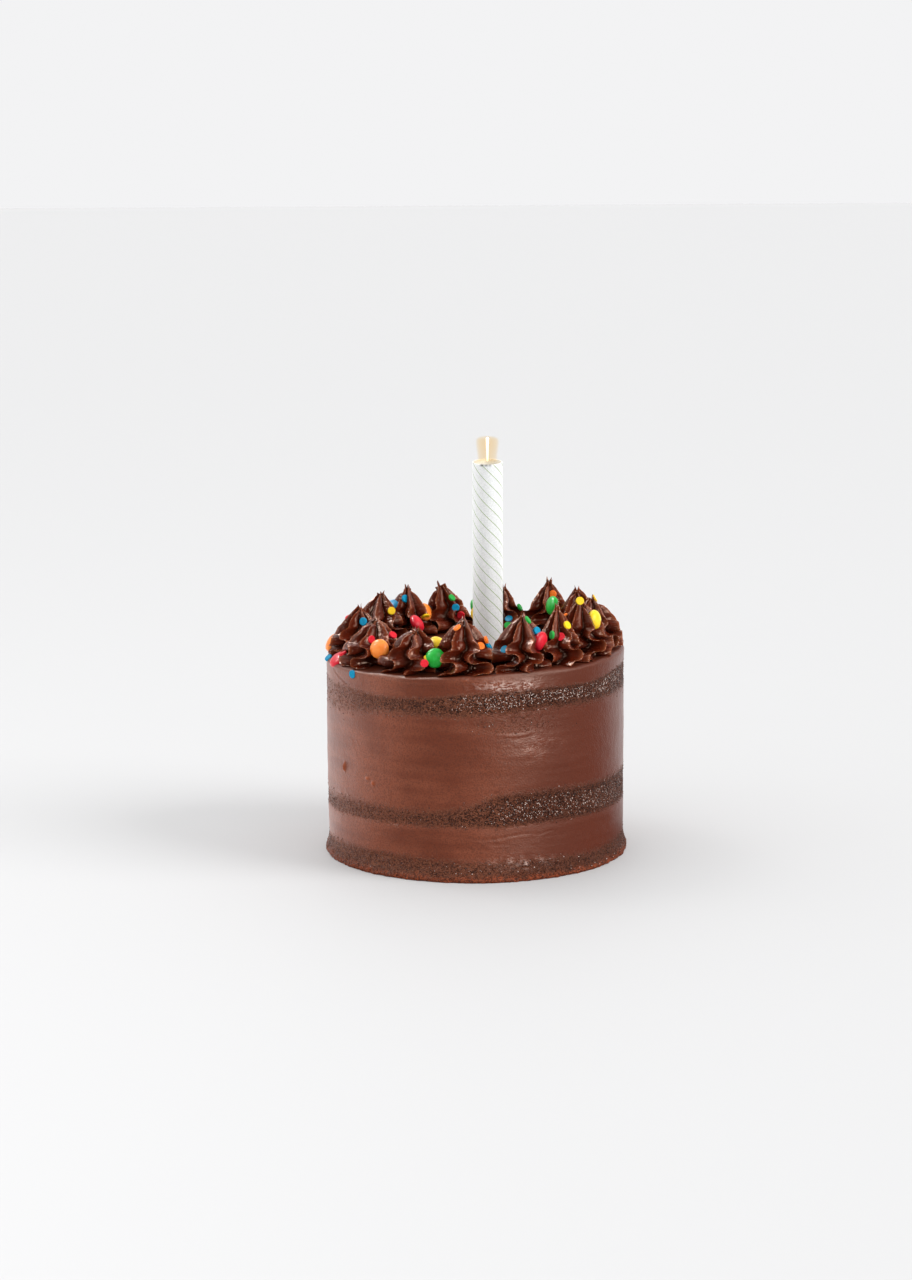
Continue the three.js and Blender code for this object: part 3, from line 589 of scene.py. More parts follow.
# Marks of the scraper: from bearing and height to bearing and height, depth (a ridge is below 0), width.
MARKS = [(-4, 21, 22, 22.6, 0.28, 0.45), (22, 22.6, 31, 22.7, 0.22, 0.4), (2, 19.5, 13, 17.6, 0.2, 0.4),
         (8, 71.2, 25, 72, -0.3, 0.5), (-72, 97, -50, 86, 0.3, 0.45), (-52, 91.5, -30, 92.8, 0.25, 0.5),
         (-46, 50, -38, 50.6, 0.2, 0.35), (-14, 45, -4, 42, 0.16, 0.4), (-44, 96.8, -12, 97.4, 0.3, 0.5),
         (-58, 66, -51, 62, 0.15, 0.4), (118, 60, 140, 61, 0.25, 0.5), (165, 47, 179, 49, 0.2, 0.5),
         (-128, 20, -108, 19, 0.25, 0.5), (78, 58, 96, 57.4, 0.2, 0.4)]
# Small curls of buttercream that stand off: bearing, height, half width, half length, how far they stand.
CURLS = [(-60, 49, 0.75, 3.0, 1.3), (-45.5, 46.5, 1.4, 0.9, 1.0), (-42.5, 44.7, 1.0, 1.4, 1.0),
         (-4, 98.6, 1.2, 0.5, 0.5), (150, 70, 0.8, 2.2, 1.0), (-150, 38, 1.4, 0.7, 0.8)]
# Shiny patches of smeared buttercream, also painted with a pale highlight: strength, bearing and half width
# in degrees, height and half height, then the even part and the mottled part, and the mottling's size and
# seed.
SHINY_PATCHES = [(1.3, 12, 13, 95, 3, 0.75, 0.6, 5, 11), (0.45, 24, 9, 65, 6, 0.6, 0.8, 4, 12),
                 (0.7, 17, 13, 9, 3.5, 0.6, 0.9, 2.6, 14)]


def bare_share(bearing, z):
    """How much of the side is open crumb, from 0 to 1, at bearings of -180 to 180: three belts, and a
    thin stretch under the top one."""
    foot, head = np.interp(bearing, BARE_AT, TOP_BARE_FOOT), np.interp(bearing, BARE_AT, TOP_BARE_HEAD)
    top = smoothstep(foot - 7, foot + 3, z) ** 1.5 * (1 - smoothstep(head - 2, head + 2, z))
    top *= np.interp(bearing, BARE_AT, TOP_BARE_SHARE)
    foot, head = np.interp(bearing, BARE_AT, MIDDLE_BARE_FOOT), np.interp(bearing, BARE_AT, MIDDLE_BARE_HEAD)
    middle = smoothstep(foot - 2.6, foot + 2.6, z) * (1 - smoothstep(head - 4, head + 4, z))
    middle *= 0.68 + 0.27 * smoothstep(-40, 20, bearing)
    head = np.interp(bearing, BARE_AT, BASE_BARE_HEAD)
    base = 0.72 * (1 - smoothstep(head - 3.5, head + 3, z))
    thin = 0.4 * hump(bearing - 12, 22) * smoothstep(71.5, 73.5, z) * (1 - smoothstep(82, 88, z))
    return np.maximum.reduce([top, middle, base, thin])


def arc_length(bearings):
    """Millimetres round the side for a difference of bearings."""
    return bearings * TURN * BODY_RADIUS / 360


def mark_depth(bearing, z):
    """How deep the scraper's marks cut, each tapered at its ends, with a low burr below it."""
    depth = np.zeros(z.shape)
    for from_bearing, from_z, to_bearing, to_z, deep, wide in MARKS:
        along = np.clip((bearing - from_bearing) / (to_bearing - from_bearing), 0, 1)
        aside = arc_length(bearing - (from_bearing + along * (to_bearing - from_bearing)))
        off = z - (from_z + along * (to_z - from_z)) - 0.5 * np.sin(along * 7 + from_bearing)
        taper = np.sin(np.clip(along, 0.02, 0.98) * math.pi) ** 0.5
        depth += deep * taper * hump(aside, 1.5) * (hump(off, wide) - 0.5 * hump(off + 2 * wide, wide))
    return depth


def curl_height(bearing, z):
    """How far the curls of buttercream stand off."""
    stand = np.zeros(z.shape)
    for at, height, half_width, half_length, high in CURLS:
        aside = arc_length(bearing - at) + 0.12 * (z - height) ** 2 / max(half_length, 1)
        lip = np.clip(1 - np.abs(aside) / half_width, 0, 1) ** 0.7
        stand = np.maximum(stand, high * lip * np.clip(1 - ((z - height) / half_length) ** 2, 0, 1))
    return stand


def side_looks(bearing, z):
    """How far the side stands off its round form at a bearing and height, and the looks there, each of
    0 to 1: crumb is bare sponge, shine is smeared buttercream that also gets a painted pale highlight, then
    come how much the crumbs get painted glints and how much painted shade lies to the right of the front,
    baked is the crust at the foot, and lifted is the edge of a curl."""
    turned = (bearing + 180) % 360 - 180
    place = np.concatenate([polar(bearing, BODY_RADIUS), z[..., None]], axis=-1)
    bare = bare_share(turned, z)
    curls = curl_height(turned, z)
    grains = 0.55 * mottle(place, 2.6, 3) + 0.45 * mottle(place, 1.3, 4)
    broad = 0.28 * mottle(place, 34, 1) + 0.12 * mottle(place, 11, 2)
    streaks = 0.07 * mottle(place * (0.09, 0.09, 1), 1.9, 5) + 0.08 * mottle(place * (0.06, 0.06, 1), 6, 6)
    shine = np.zeros(z.shape)
    for strength, at, wide, height, tall, even, mottled, size, seed in SHINY_PATCHES:
        uneven = even + mottled * mottle(place, size, seed)
        shine += strength * hump(turned - at, wide) * hump(z - height, tall) * uneven
    shine = np.clip(shine, 0, 1)
    # How much the crumbs get painted glints: most to the right of the front.
    painted_glint_share = 0.25 + 0.65 * smoothstep(-24, 4, turned) * (1 - smoothstep(58, 80, turned))
    # Painted shade: the buttercream is darker to the right of the front, and less where it shines.
    painted_shade = smoothstep(-8, 36, turned) * (1 - smoothstep(80, 120, turned)) * (1 - 0.6 * shine)
    baked = (1 - smoothstep(1.2, 4.2, z + 1.6 * mottle(place, 2.2, 8))) * 0.9
    ragged = (0.5 * mottle(place, 3.1, 9) + 0.5 * mottle(place, 1.4, 7)) * (1 - smoothstep(0, 6, z))
    off = broad + streaks - mark_depth(turned, z) + curls + bare * (0.34 * grains - 0.25) + ragged
    off += 0.3 * shine * mottle(place * (0.4, 0.4, 1), 1.6, 13)
    off += 0.8 * hump(turned - 22, 16) * hump(z - 58, 9)
    off -= 1.2 * hump(turned - 15, 13) * smoothstep(91, 98.5, z)
    return off, dict(crumb=bare, shine=shine, painted_glint_share=painted_glint_share, painted_shade=painted_shade, baked=baked,
                     lifted=np.clip(curls / 0.7, 0, 1))


def seam_height(bearing, height):
    """The height of a seam round the cake: it wanders, and tilts more the higher it lies."""
    angle = np.radians(bearing - 90)
    inside = 0 < height < CAKE_HEIGHT - RIM_ROUND
    wander = SEAM_WANDER * np.sin(3 * angle + height) if inside else 0
    return height + TOP_TILT * BODY_RADIUS * np.cos(angle) * height / CAKE_HEIGHT + wander


def band_side(bearing, low, high):
    """Rings of the side between two seams, and their looks."""
    rows = max(3, round((high - low) / ROW_STEP) + 1)
    share = np.linspace(0, 1, rows)[:, None]
    z = seam_height(bearing, low) * (1 - share) + seam_height(bearing, high) * share
    bearings = np.broadcast_to(bearing, z.shape)
    off, looks = side_looks(bearings, z)
    skirt = SKIRT * np.clip(1 - z / SKIRT_HEIGHT, 0, 1) ** 1.5 - FOOT_TUCK * hump(z, 0.7)
    flat = polar(bearings, BODY_RADIUS + skirt + off)
    return np.concatenate([flat, z[..., None]], axis=-1), looks


def top_relief(flat):
    """How the top icing lies: spread in arcs, and pushed up round the candle."""
    place = np.concatenate([flat, np.zeros(flat.shape[:-1] + (1,))], axis=-1)
    reach = np.hypot(flat[..., 0] + 18, flat[..., 1] - 26)
    arcs = 0.22 * np.sin(reach / 2.6 + 2 * mottle(place, 24, 21))
    collar = np.hypot(flat[..., 0] - CANDLE_FOOT[0], flat[..., 1] - CANDLE_FOOT[1]) - CANDLE_RADIUS
    return 0.4 * mottle(place, 17, 22) + arcs + 0.9 * hump(collar - 0.6, 1.3) - 0.2


def rim_and_top(bearing):
    """Rings of the rounded rim and the top, from the side inwards, and their looks."""
    side_off, side = side_looks(bearing, seam_height(bearing, CAKE_HEIGHT - RIM_ROUND))
    leans = np.linspace(0, math.pi / 2, 7)[1:, None]
    rim_radii = BODY_RADIUS - RIM_ROUND * (1 - np.cos(leans)) + side_off * np.cos(leans)
    radii = np.arange(BODY_RADIUS - RIM_ROUND - TOP_STEP, 0, -TOP_STEP)[:, None]
    flat = polar(bearing, np.vstack([rim_radii, radii + 0 * bearing]))
    rise = np.vstack([np.sin(leans), np.ones(radii.shape)])
    z = top_height(flat[..., 0]) - RIM_ROUND * (1 - rise) + top_relief(flat) * rise
    outward = 1 - rise ** 2
    # The top gets painted shade in full, blending into the side's painted shade over the rim.
    looks = dict(crumb=side["crumb"] * np.sqrt(outward), painted_shade=1 - (1 - side["painted_shade"]) * outward)
    return np.concatenate([flat, z[..., None]], axis=-1), looks


def cake_bands():
    """The six bands of the scraped side, each a closed body, and the top one with the rim and the top."""
    bearing = np.arange(SIDE_COLUMNS) * 360 / SIDE_COLUMNS
    finishes = {"sponge": scraped_cake("chocolate_sponge_scraped"),
                "buttercream": scraped_cake("chocolate_buttercream_scraped")}
    low = 0
    for name, high in BANDS:
        top = high == CAKE_HEIGHT
        rings, looks = band_side(bearing, low, CAKE_HEIGHT - RIM_ROUND if top else high)
        if top:
            more, tops = rim_and_top(bearing)
            rings = np.concatenate([rings, more])
            none = np.zeros(tops["crumb"].shape)
            looks = {key: np.concatenate([value, tops.get(key, none)]) for key, value in looks.items()}
        points, faces = closed_tube(rings)
        slot = "sponge" if name.startswith("sponge") else "buttercream"
        piece = make_mesh("scraped_" + name, points, faces, finishes[slot],
                          {key: with_caps(value) for key, value in looks.items()}, crease=80)
        dress(piece, [name])
        low = high


# --- the piped kisses --------------------------------------------------------------------------------

KISS_FEET = np.array([polar(kiss["bearing"], RING_RADIUS) for kiss in KISSES])


def cell_limit(own, axis, direction):
    """How far points may lie from their axis, each in its direction, inside the kiss's own cell."""
    limit = np.full(direction.shape[:-1], 1e9)
    for other, foot in enumerate(KISS_FEET):
        away = foot - KISS_FEET[own]
        spacing = np.hypot(*away)
        if other == own or spacing > 3 * KISS_RADIUS:
            continue
        away = away / spacing
        turned = direction @ away
        room = (KISS_FEET[own] - axis) @ away + (spacing + KISS_PRESS) / 2
        limit = np.where(turned > 0.01, np.minimum(limit, room / np.maximum(turned, 0.01)), limit)
    along = np.sum(axis * direction, axis=-1)
    rim = np.sqrt(along ** 2 + KISS_REACH ** 2 - np.sum(axis * axis, axis=-1)) - along
    return np.minimum(limit, rim)


def squeezed(radius, limit):
    """The radius, held softly inside its limit."""
    return radius / (1 + (radius / limit) ** 8) ** (1 / 8)


def fin_shape(across, level):
    """1 on a fin's edge and 0 in the groove beside it. The fins are thin at the foot and fuller above."""
    broad = np.clip(1 - across / GROOVE_AT, 0, 1)
    steep = np.clip((across - GROOVE_AT) / (1 - GROOVE_AT), 0, 1)
    thin = np.maximum(broad, steep) ** 1.6
    full = np.where(across < GROOVE_AT, 1 - (1 - broad) ** 1.5, steep ** 1.1)
    return thin + (full - thin) * smoothstep(0.15, 0.6, level)


def kiss_form(own, fins, level):
    """A kiss at a fin count round it and a share of its height: height, strength of the folds there,
    their phase, radius of the fins' edges and bearing."""
    kiss = KISSES[own]
    height = level * kiss["height"]
    around = fins / KISS_FINS * TURN + 2.4 * own
    fade = np.clip((FOLD_END - height) / FOLD_FADE, 0, 1) * (1 + 0.15 * np.sin(around))
    turning = TURN * (height - kiss["fold"]) / FOLD_PITCH + FOLD_DRIFT * np.sin(around + 1.7 * own)
    first, second = kiss["taper"]
    full = KISS_RADIUS * kiss["size"] * np.clip(1 - level ** first, 0, 1) ** second
    waist = kiss["waist"] * hump(height - WAIST_AT, WAIST_SPREAD)
    ridge = np.maximum((full - waist) * (1 + SIZE_WOBBLE * np.sin(2 * around + own)), kiss["tip"])
    swing = FOLD_SWING * fade * np.sin(turning) / np.clip(ridge, 5, 13)
    bearing = fins / KISS_FINS * 360 + kiss["turn"] + np.degrees(swing)
    bearing = bearing + FIN_WOBBLE * np.sin(3 * around + own)
    return height, fade, turning, ridge, bearing


def kiss_points(own, fins, level):
    """Points of a kiss, and how near a fin's edge each is."""
    height, fade, turning, ridge, bearing = kiss_form(own, fins, level)
    shape = fin_shape(fins - np.floor(fins), level)
    axis = KISS_FEET[own] + np.array(KISSES[own]["lean"]) * level[..., None] ** 1.5
    direction = polar(bearing, 1.0)
    limit = cell_limit(own, axis, direction)
    flare = FLARE * np.clip(1 - height / FLARE_HEIGHT, 0, 1) ** 2
    flare = flare * np.clip((limit - ridge) / FLARE_ROOM, 0, 1)
    radius = squeezed((ridge + flare) * (1 - GROOVE_DEPTH * (1 - shape)), limit)
    from_edge = np.minimum(fins % 1, 1 - fins % 1)
    crest = np.exp(-from_edge / CREST_WIDTH * (ridge / KISS_RADIUS) ** 0.7)
    flat = axis + direction * (radius + CREST * crest * np.clip(ridge / KISS_RADIUS, 0.2, 1))[..., None]
    fin = np.floor(fins + 1 - GROOVE_AT) % KISS_FINS
    prong = PRONG * (0.5 + 0.5 * np.cos(2.6 * fin + own)) * smoothstep(0.75, 1, level)
    notch = NOTCH * (1 - shape) * smoothstep(0.85, 1, level)
    lap = FOLD_LAP * fade * np.sin(2 * turning) * shape * smoothstep(0, 0.08, level)
    foot = top_height(flat[..., 0])
    z = np.maximum(foot + CONTACT_GAP * level + height - prong - notch - lap, foot - 0.2)
    return np.concatenate([flat, z[..., None]], axis=-1), shape, crest


def piped_kiss(own, finish):
    """One kiss of the ring. Its columns of points crowd towards the fins' edges."""
    spread = np.linspace(0, 1, FIN_COLUMNS, endpoint=False)
    spread = spread - EDGE_CROWDING * np.sin(TURN * spread) / TURN
    fins = np.concatenate([fin + spread for fin in range(KISS_FINS)])
    level, fins = np.meshgrid(np.linspace(0, 1, KISS_RINGS), fins, indexing="ij")
    rings, shape, crest = kiss_points(own, fins, level)
    rough = 0.17 * mottle(rings, 2.6, own) + 0.07 * mottle(rings, 1.1, own + 20)
    # How much lighter the fins' edges are painted, for light through the thin edges and their highlight.
    edge = crest * (0.8 + 0.4 * mottle(rings, 4.0, own + 50))
    # Painted shade in the grooves between the fins.
    groove = 0.85 * smoothstep(0.5, 0.0, shape)
    rings += (rough * smoothstep(0, 0.1, level))[..., None]
    points, faces = closed_tube(rings)
    name = "kiss_%02d" % (own + 1)
    piece = make_mesh("piped_" + name, points, faces, finish,
                      {"ridge": with_caps(edge), "groove": with_caps(groove)})
    dress(piece, [name])


# --- what is scattered: sugar shells, confetti and crumbs --------------------------------------------

def new_tree(name, inputs):
    """A geometry tree with its inputs, after the geometry itself, by name and kind of socket."""
    tree = bpy.data.node_groups.new(name, "GeometryNodeTree")
    tree.interface.new_socket("Geometry", in_out="INPUT", socket_type="NodeSocketGeometry")
    for key, kind in inputs.items():
        tree.interface.new_socket(key, in_out="INPUT", socket_type="NodeSocket" + kind)
    tree.interface.new_socket("Geometry", in_out="OUTPUT", socket_type="NodeSocketGeometry")
    return tree, tree.nodes.new("NodeGroupInput").outputs


def end_tree(tree, instances, finish):
    """The instances become one plain mesh with its finish."""
    real = node(tree, "GeometryNodeRealizeInstances", Geometry=instances)
    done = node(tree, "GeometryNodeSetMaterial", Geometry=real, Material=finish)
    node(tree, "NodeGroupOutput", Geometry=done)


def sweets_tree():
    """Stands a sweet at each point, its flat side towards the point's axis, each a little out of true."""
    tree, given = new_tree("sweets_on_points", {"Sweet": "Object", "Smallest": "Float", "Largest": "Float",
                                                "Seed": "Int", "Finish": "Material"})
    sweet = node(tree, "GeometryNodeObjectInfo", Object=given["Sweet"]).outputs["Geometry"]
    axis = node(tree, "GeometryNodeInputNamedAttribute", {"data_type": "FLOAT_VECTOR"}, Name="axis")
    turned = node(tree, "FunctionNodeAlignRotationToVector", {"axis": "Z"}, Vector=axis)
    size = node(tree, "FunctionNodeRandomValue", {"data_type": "FLOAT_VECTOR"}, Min=given["Smallest"],
                Max=given["Largest"], Seed=given["Seed"])
    stood = node(tree, "GeometryNodeInstanceOnPoints", Points=given["Geometry"], Instance=sweet,
                 Rotation=turned, Scale=size)
    end_tree(tree, stood, given["Finish"])
    return tree


def crumbs_tree():
    """Scatters crumbs over the bare sponge: small broken lumps, more of them where more is bare."""
    tree, given = new_tree("crumbs_on_bare_sponge", {"Per square metre": "Float", "Smallest": "Float",
                                                     "Largest": "Float", "Seed": "Int", "Finish": "Material"})
    bare = node(tree, "GeometryNodeInputNamedAttribute", {"data_type": "FLOAT"}, Name="crumb")
    density = node(tree, "ShaderNodeMath", TIMES, Value=bare, Value_001=given["Per square metre"])
    spots = node(tree, "GeometryNodeDistributePointsOnFaces", Mesh=given["Geometry"], Density=density,
                 Seed=given["Seed"])
    lump = node(tree, "GeometryNodeMeshIcoSphere", Radius=1.0, Subdivisions=1)
    turn = node(tree, "FunctionNodeRandomValue", {"data_type": "FLOAT_VECTOR"}, Max=(TURN, TURN, TURN),
                Seed=given["Seed"])
    size = node(tree, "FunctionNodeRandomValue", {"data_type": "FLOAT_VECTOR"}, Min=given["Smallest"],
                Max=given["Largest"], Seed=given["Seed"])
    laid = node(tree, "GeometryNodeInstanceOnPoints", Points=spots, Instance=lump, Rotation=turn, Scale=size)
    end_tree(tree, laid, given["Finish"])
    return tree


def grown(ground, tree, values):
    """Runs a tree on an object and leaves its result there as a plain mesh."""
    modifier = ground.modifiers.new("grown", "NODES")
    modifier.node_group = tree
    sockets = {item.name: item.identifier for item in tree.interface.items_tree if item.in_out == "INPUT"}
    for key, value in values.items():
        modifier[sockets[key]] = value
    ready = ground.evaluated_get(bpy.context.evaluated_depsgraph_get())
    mesh = bpy.data.meshes.new_from_object(ready)
    ground.modifiers.clear()
    ground.data = mesh
    return ground


def scattered(name, tree, profile, sides, places, finish, unevenness):
    """One piece of all the sweets of a kind and colour. places are (middle, axis) pairs."""
    shape = make_mesh(name + "_shape", *turned_body(profile, sides), finish, crease=40)
    mesh = bpy.data.meshes.new(name)
    mesh.from_pydata([tuple(np.asarray(middle) * MM) for middle, axis in places], [], [])
    axes = np.array([axis for middle, axis in places], np.float32)
    mesh.attributes.new("axis", "FLOAT_VECTOR", "POINT").data.foreach_set("vector", axes.ravel())
    ground = bpy.data.objects.new(name, mesh)
    bpy.context.scene.collection.objects.link(ground)
    piece = grown(ground, tree, {"Sweet": shape, "Smallest": 1 - unevenness, "Largest": 1 + unevenness,
                                 "Seed": 5, "Finish": finish})
    bpy.data.objects.remove(shape)
    return piece


def sugar_shells(tree):
    """The lens-shaped sugar shells between the kisses, one piece for each colour."""
    lens = [(SHELL_DIAMETER / 2 * math.cos(t) ** 0.85, SHELL_THICKNESS / 2 * math.sin(t))
            for t in np.linspace(-1.52, 1.52, 21)]
    for colour, tones in SHELL_COLOURS.items():
        places, nodes = [], []
        for index, (shade, bearing, radius, height, faces_to, rise) in enumerate(SHELLS):
            if shade == colour:
                foot = polar(bearing, radius)
                places.append(((foot[0], foot[1], top_height(foot[0]) + height), heading(faces_to, rise)))
                nodes.append("shell_%02d_%s" % (index + 1, colour))
        finish = sugar_shell(colour, *tones)
        piece = scattered("sugar_shells_" + colour, tree, lens, 40, places, finish, 0.02)
        dress(piece, nodes)


def fins_at(own, around, level):
    """The fin count at a bearing round a kiss, found by stepping towards it."""
    fins = float(KISS_FINS)
    for _ in range(8):
        off = around - float(kiss_form(own, fins, level)[4])
        fins += ((off + 180) % 360 - 180) / 360 * KISS_FINS
    return fins % KISS_FINS + KISS_FINS


def disc_place(own, around, height):
    """The middle and the axis of a disc on a kiss."""
    level = height / KISSES[own]["height"]
    fins = fins_at(own, around, level)
    steps = np.array([(0, 0), (0.2, 0), (-0.2, 0), (0, 0.05), (0, -0.05)])
    spots = kiss_points(own, fins + steps[:, 0], level + steps[:, 1])[0]
    normal = np.cross(spots[1] - spots[2], spots[3] - spots[4])
    normal /= np.linalg.norm(normal)
    return spots[0] + normal * DISC_SINK, normal


def flat_disc_place(bearing, reach, faces_to):
    """The middle and the axis of a disc that lies on the top, or hangs over the rim where its reach,
    measured along the surface, goes past it."""
    over = max(0.0, reach - BODY_RADIUS + RIM_ROUND)
    bent = min(over / RIM_ROUND, math.pi / 2)
    axis = heading(faces_to, 90 - math.degrees(bent))
    foot = polar(bearing, min(reach, BODY_RADIUS - RIM_ROUND) + RIM_ROUND * math.sin(bent))
    drop = RIM_ROUND * (1 - math.cos(bent)) + over - RIM_ROUND * bent
    return np.array([foot[0], foot[1], top_height(foot[0]) - drop]) + DISC_SINK * axis, axis


def confetti(tree):
    """The confetti on the kisses and on the top, one piece for each colour."""
    half, radius, bevel = DISC_THICKNESS / 2, DISC_DIAMETER / 2, 0.22
    profile = [(0.5 * radius, -half), (radius - bevel, -half), (radius, bevel - half), (radius, half - bevel),
               (radius - bevel, half), (0.5 * radius, half)]
    for colour, tones in DISC_COLOURS.items():
        places = [disc_place(*entry[:3]) for entry in CONFETTI if entry[3] == colour]
        places += [flat_disc_place(*entry[:3]) for entry in FLAT_CONFETTI if entry[3] == colour]
        finish = pressed_sugar(colour, *tones)
        piece = scattered("confetti_" + colour, tree, profile, 28, places, finish, 0.04)
        dress(piece, [])


def bare_sponge_crumbs():
    """Loose crumbs, scattered over a coarser copy of the side where it is bare or baked."""
    bearing = np.arange(0, 360, 1.0)
    rings, looks = band_side(bearing, 0, CAKE_HEIGHT - RIM_ROUND)
    finish = loose_crumb()
    off_the_floor = smoothstep(0.8, 1.8, rings[..., 2])
    share = np.maximum(looks["crumb"] ** 1.5, looks["baked"]) * off_the_floor
    # The copy also carries how much painted glints the crumbs get.
    ground = make_mesh("bare_sponge_crumbs", rings.reshape(-1, 3), grid_faces(*rings.shape[:2]), finish,
                       {"crumb": share, "painted_glint_share": looks["painted_glint_share"]})
    piece = grown(ground, crumbs_tree(), {"Per square metre": CRUMBS_PER_SQUARE_METRE, "Seed": 11,
                                          "Smallest": CRUMB_RADII[0] * MM, "Largest": CRUMB_RADII[1] * MM,
                                          "Finish": finish})
    dress(piece, [])


# --- the candle --------------------------------------------------------------------------------------

def on_candle(points):
    """Turns points built round +z onto the candle's axis, from its foot."""
    turn = Vector((0, 0, 1)).rotation_difference(Vector(heading(0, 90 - CANDLE_LEAN))).to_matrix()
    return points @ np.array(turn).T + (CANDLE_FOOT[0], CANDLE_FOOT[1], top_height(CANDLE_FOOT[0]))


def paper_tube():
    """The candle's paper tube, pushed into the cake, with soot round its mouth."""
    inner, mouth = CANDLE_RADIUS - CANDLE_WALL, CANDLE_STANDS
    profile = [(CANDLE_RADIUS, -CANDLE_SUNK)] + [(CANDLE_RADIUS, z) for z in np.linspace(0, mouth - 4, 24)]
    profile += [(CANDLE_RADIUS, z) for z in np.linspace(mouth - 3.6, mouth - 0.2, 16)]
    profile += [(CANDLE_RADIUS - 0.15, mouth), (inner + 0.15, mouth), (inner, mouth - 0.2),
                (inner, mouth - 4), (inner, CANDLE_WALL - CANDLE_SUNK)]
    points, faces = turned_body(profile, 96)
    bearing = np.degrees(np.arctan2(points[:, 0], -points[:, 1]))
    spots = hump(bearing + 22, 7) + 0.8 * hump(bearing + 5, 6) + 0.7 * hump(bearing - 9, 5)
    outside = np.hypot(points[:, 0], points[:, 1]) > inner + 0.2
    inside = ~outside & (points[:, 2] > mouth - 6)
    soot = np.clip(smoothstep(mouth - 1.3, mouth - 0.1, points[:, 2]) * spots + inside * 0.08, 0, 1)
    tube = make_mesh("paper_tube", on_candle(points), faces, wrapped_paper(),
                     {"soot": soot, "outside": outside}, crease=50)
    dress(tube, ["candle_tube"])


def packed_charge():
    """The charge in the tube, burnt to a shallow bowl."""
    radius = CANDLE_RADIUS - CANDLE_WALL - CONTACT_GAP
    top = CANDLE_STANDS - CHARGE_DROP
    points, faces = turned_body([(radius, CANDLE_WALL + CONTACT_GAP - CANDLE_SUNK), (radius, top - 0.3),
                                 (radius - 0.4, top), (0.3 * radius, top - CHARGE_BOWL)], 48)
    charge = make_mesh("packed_charge", on_candle(points), faces, pressed_powder(), crease=50)
    dress(charge, ["candle_charge"])


def flame():
    """The flame's barrel: a clear veil of gas just above the mouth, round a thin white jet."""
    low, high = CANDLE_STANDS + 0.2, CANDLE_STANDS + FLAME_HEIGHT
    share = np.linspace(0, 1, 24)
    barrel = FLAME_RADIUS * (0.86 + 0.14 * smoothstep(0.1, 0.8, share)) * np.clip(1 - share ** 36, 0.05, 1)
    points, faces = turned_body(list(zip(barrel, low + (high - low) * share)), 48)
    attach(make_mesh("flame_veil", on_candle(points), faces, hot_gas()), "root")
    jet = JET_RADIUS * (0.55 + 0.45 * share)
    jet[-1] = 0.05
    points, faces = turned_body(list(zip(jet, low + 0.2 + (high - low - 0.4) * share)), 24)
    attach(make_mesh("flame_jet", on_candle(points), faces, white_jet()), "root")


# --- light, floor and camera -------------------------------------------------------------------------

def room_tone(tree, direction, towards, low, high, start, end):
    """A level in a direction, eased from start to end as it turns towards another."""
    lined = node(tree, "ShaderNodeVectorMath", {"operation": "NORMALIZE"}, Vector=direction)
    slope = node(tree, "ShaderNodeVectorMath", {"operation": "DOT_PRODUCT"}, Vector=lined,
                 Vector_001=tuple(Vector(towards).normalized()))
    return node(tree, "ShaderNodeMapRange", EASED, Value=slope, From_Min=low, From_Max=high, To_Min=start,
                To_Max=end)


def mirrored_room(tree, direction):
    """What glossy surfaces see: bright walls behind, a bright window on the left, and a dark front."""
    walls = room_tone(tree, direction, (-0.1, 1.0, 0.2), 0.0, 0.6, 0.02, 1.15)
    window = room_tone(tree, direction, (-1.0, 0.0, 0.15), 0.78, 0.97, 0.0, 1.1)
    return weighted(tree, (walls, 1.0), (window, 1.0))


def painted_floor():
    """Matt pale paint. Its reflection in the cake follows the room's tone."""
    material, tree, shader = new_material("painted_floor", Roughness=0.7)
    path = node(tree, "ShaderNodeLightPath")
    tone = mirrored_room(tree, node(tree, "ShaderNodeTexCoord").outputs["Object"])
    mirrored = node(tree, "ShaderNodeCombineColor", Red=tone, Green=tone, Blue=tone)
    give(shader, Base_Color=layered(tree, "#cacaca", (path.outputs["Is Glossy Ray"], mirrored)))
    return material


def add_lamp(name, kind, place, travel, **settings):
    """A lamp at a place that shines along a direction."""
    light = bpy.data.lights.new(name, kind)
    for key, value in settings.items():
        setattr(light, key, value)
    lamp = bpy.data.objects.new(name, light)
    bpy.context.scene.collection.objects.link(lamp)
    lamp.location = place
    lamp.rotation_euler = Vector(travel).to_track_quat("-Z", "Y").to_euler()
    return lamp


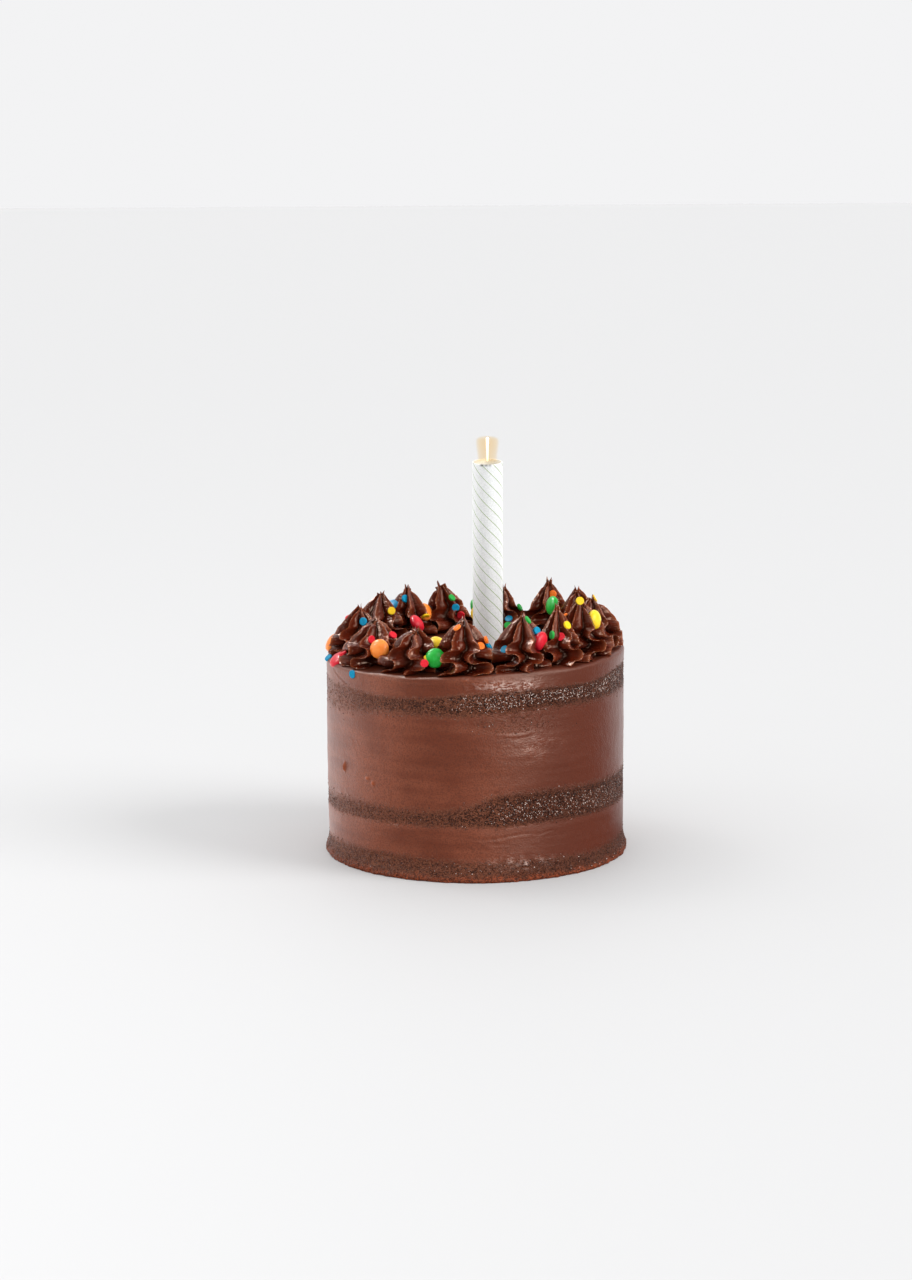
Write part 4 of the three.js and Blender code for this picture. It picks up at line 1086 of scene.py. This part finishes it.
def studio():
    """A pale room, a broad key lamp from the right, three small lamps and the floor."""
    world = bpy.data.worlds.new("pale_studio")
    bpy.context.scene.world = world
    world.use_nodes = True
    tree = world.node_tree
    background = next(n for n in tree.nodes if n.type == "BACKGROUND")
    path = node(tree, "ShaderNodeLightPath")
    way = node(tree, "ShaderNodeTexCoord").outputs["Generated"]
    lighting = room_tone(tree, way, (-0.8, 0.2, 0.7), -0.6, 0.8, 0.6, 1.4)
    lit = node(tree, "ShaderNodeMix", Factor_Float=path.outputs["Is Glossy Ray"], A_Float=lighting,
               B_Float=mirrored_room(tree, way))
    level = node(tree, "ShaderNodeMix", Factor_Float=path.outputs["Is Camera Ray"], A_Float=lit,
                 B_Float=0.945)
    give(background, Color="#f9f9fa", Strength=level)
    add_lamp("key", "SUN", (0, 0, 2), (-0.98, 0.35, -0.6), energy=2.1, angle=math.radians(35))
    # These three show only in what glints: name, place, size in metres and power in watts.
    for name, place, size, energy in (("strip_right", (0.8, -1.27, 0.5), (0.2, 0.8), 20.0),
                                      ("softbox_left", (-1.4, -0.6, 1.3), (0.3, 0.3), 26.0),
                                      ("softbox_top", (-0.7, 0.35, 1.3), (0.4, 0.4), 32.0)):
        lamp = add_lamp(name, "AREA", place, -Vector(place), energy=energy, shape="RECTANGLE", size=size[0],
                        size_y=size[1])
        lamp.visible_diffuse = False
        lamp.visible_camera = False
    size = 12000
    make_mesh("floor", [(-size, -size, 0), (size, -size, 0), (size, size, 0), (-size, size, 0)],
                       [(0, 1, 2, 3)], painted_floor())


def camera():
    """A long lens 1.4 m in front of the cake, looking down by ten degrees and rolled a little."""
    pitch, roll = math.radians(10.222), math.radians(-0.362)
    right = Vector((1, 0, 0))
    up = Vector((0, math.sin(pitch), math.cos(pitch)))
    back = Vector((0, -math.cos(pitch), math.sin(pitch)))
    turned_right = math.cos(roll) * right + math.sin(roll) * up
    turned_up = -math.sin(roll) * right + math.cos(roll) * up
    data = bpy.data.cameras.new("camera")
    data.lens = 79.81
    data.sensor_width = 36
    eye = bpy.data.objects.new("camera", data)
    bpy.context.scene.collection.objects.link(eye)
    turned = Matrix((turned_right, turned_up, back)).transposed().to_4x4()
    eye.matrix_world = Matrix.Translation(Vector((-9.49, -1388.2, 355.06)) * MM) @ turned
    bpy.context.scene.camera = eye


bpy.context.scene.view_settings.view_transform = "Standard"
camera()
studio()
cake_bands()
bare_sponge_crumbs()
cream = piped_buttercream()
for own in range(len(KISSES)):
    piped_kiss(own, cream)
on_points = sweets_tree()
sugar_shells(on_points)
confetti(on_points)
paper_tube()
packed_charge()
flame()
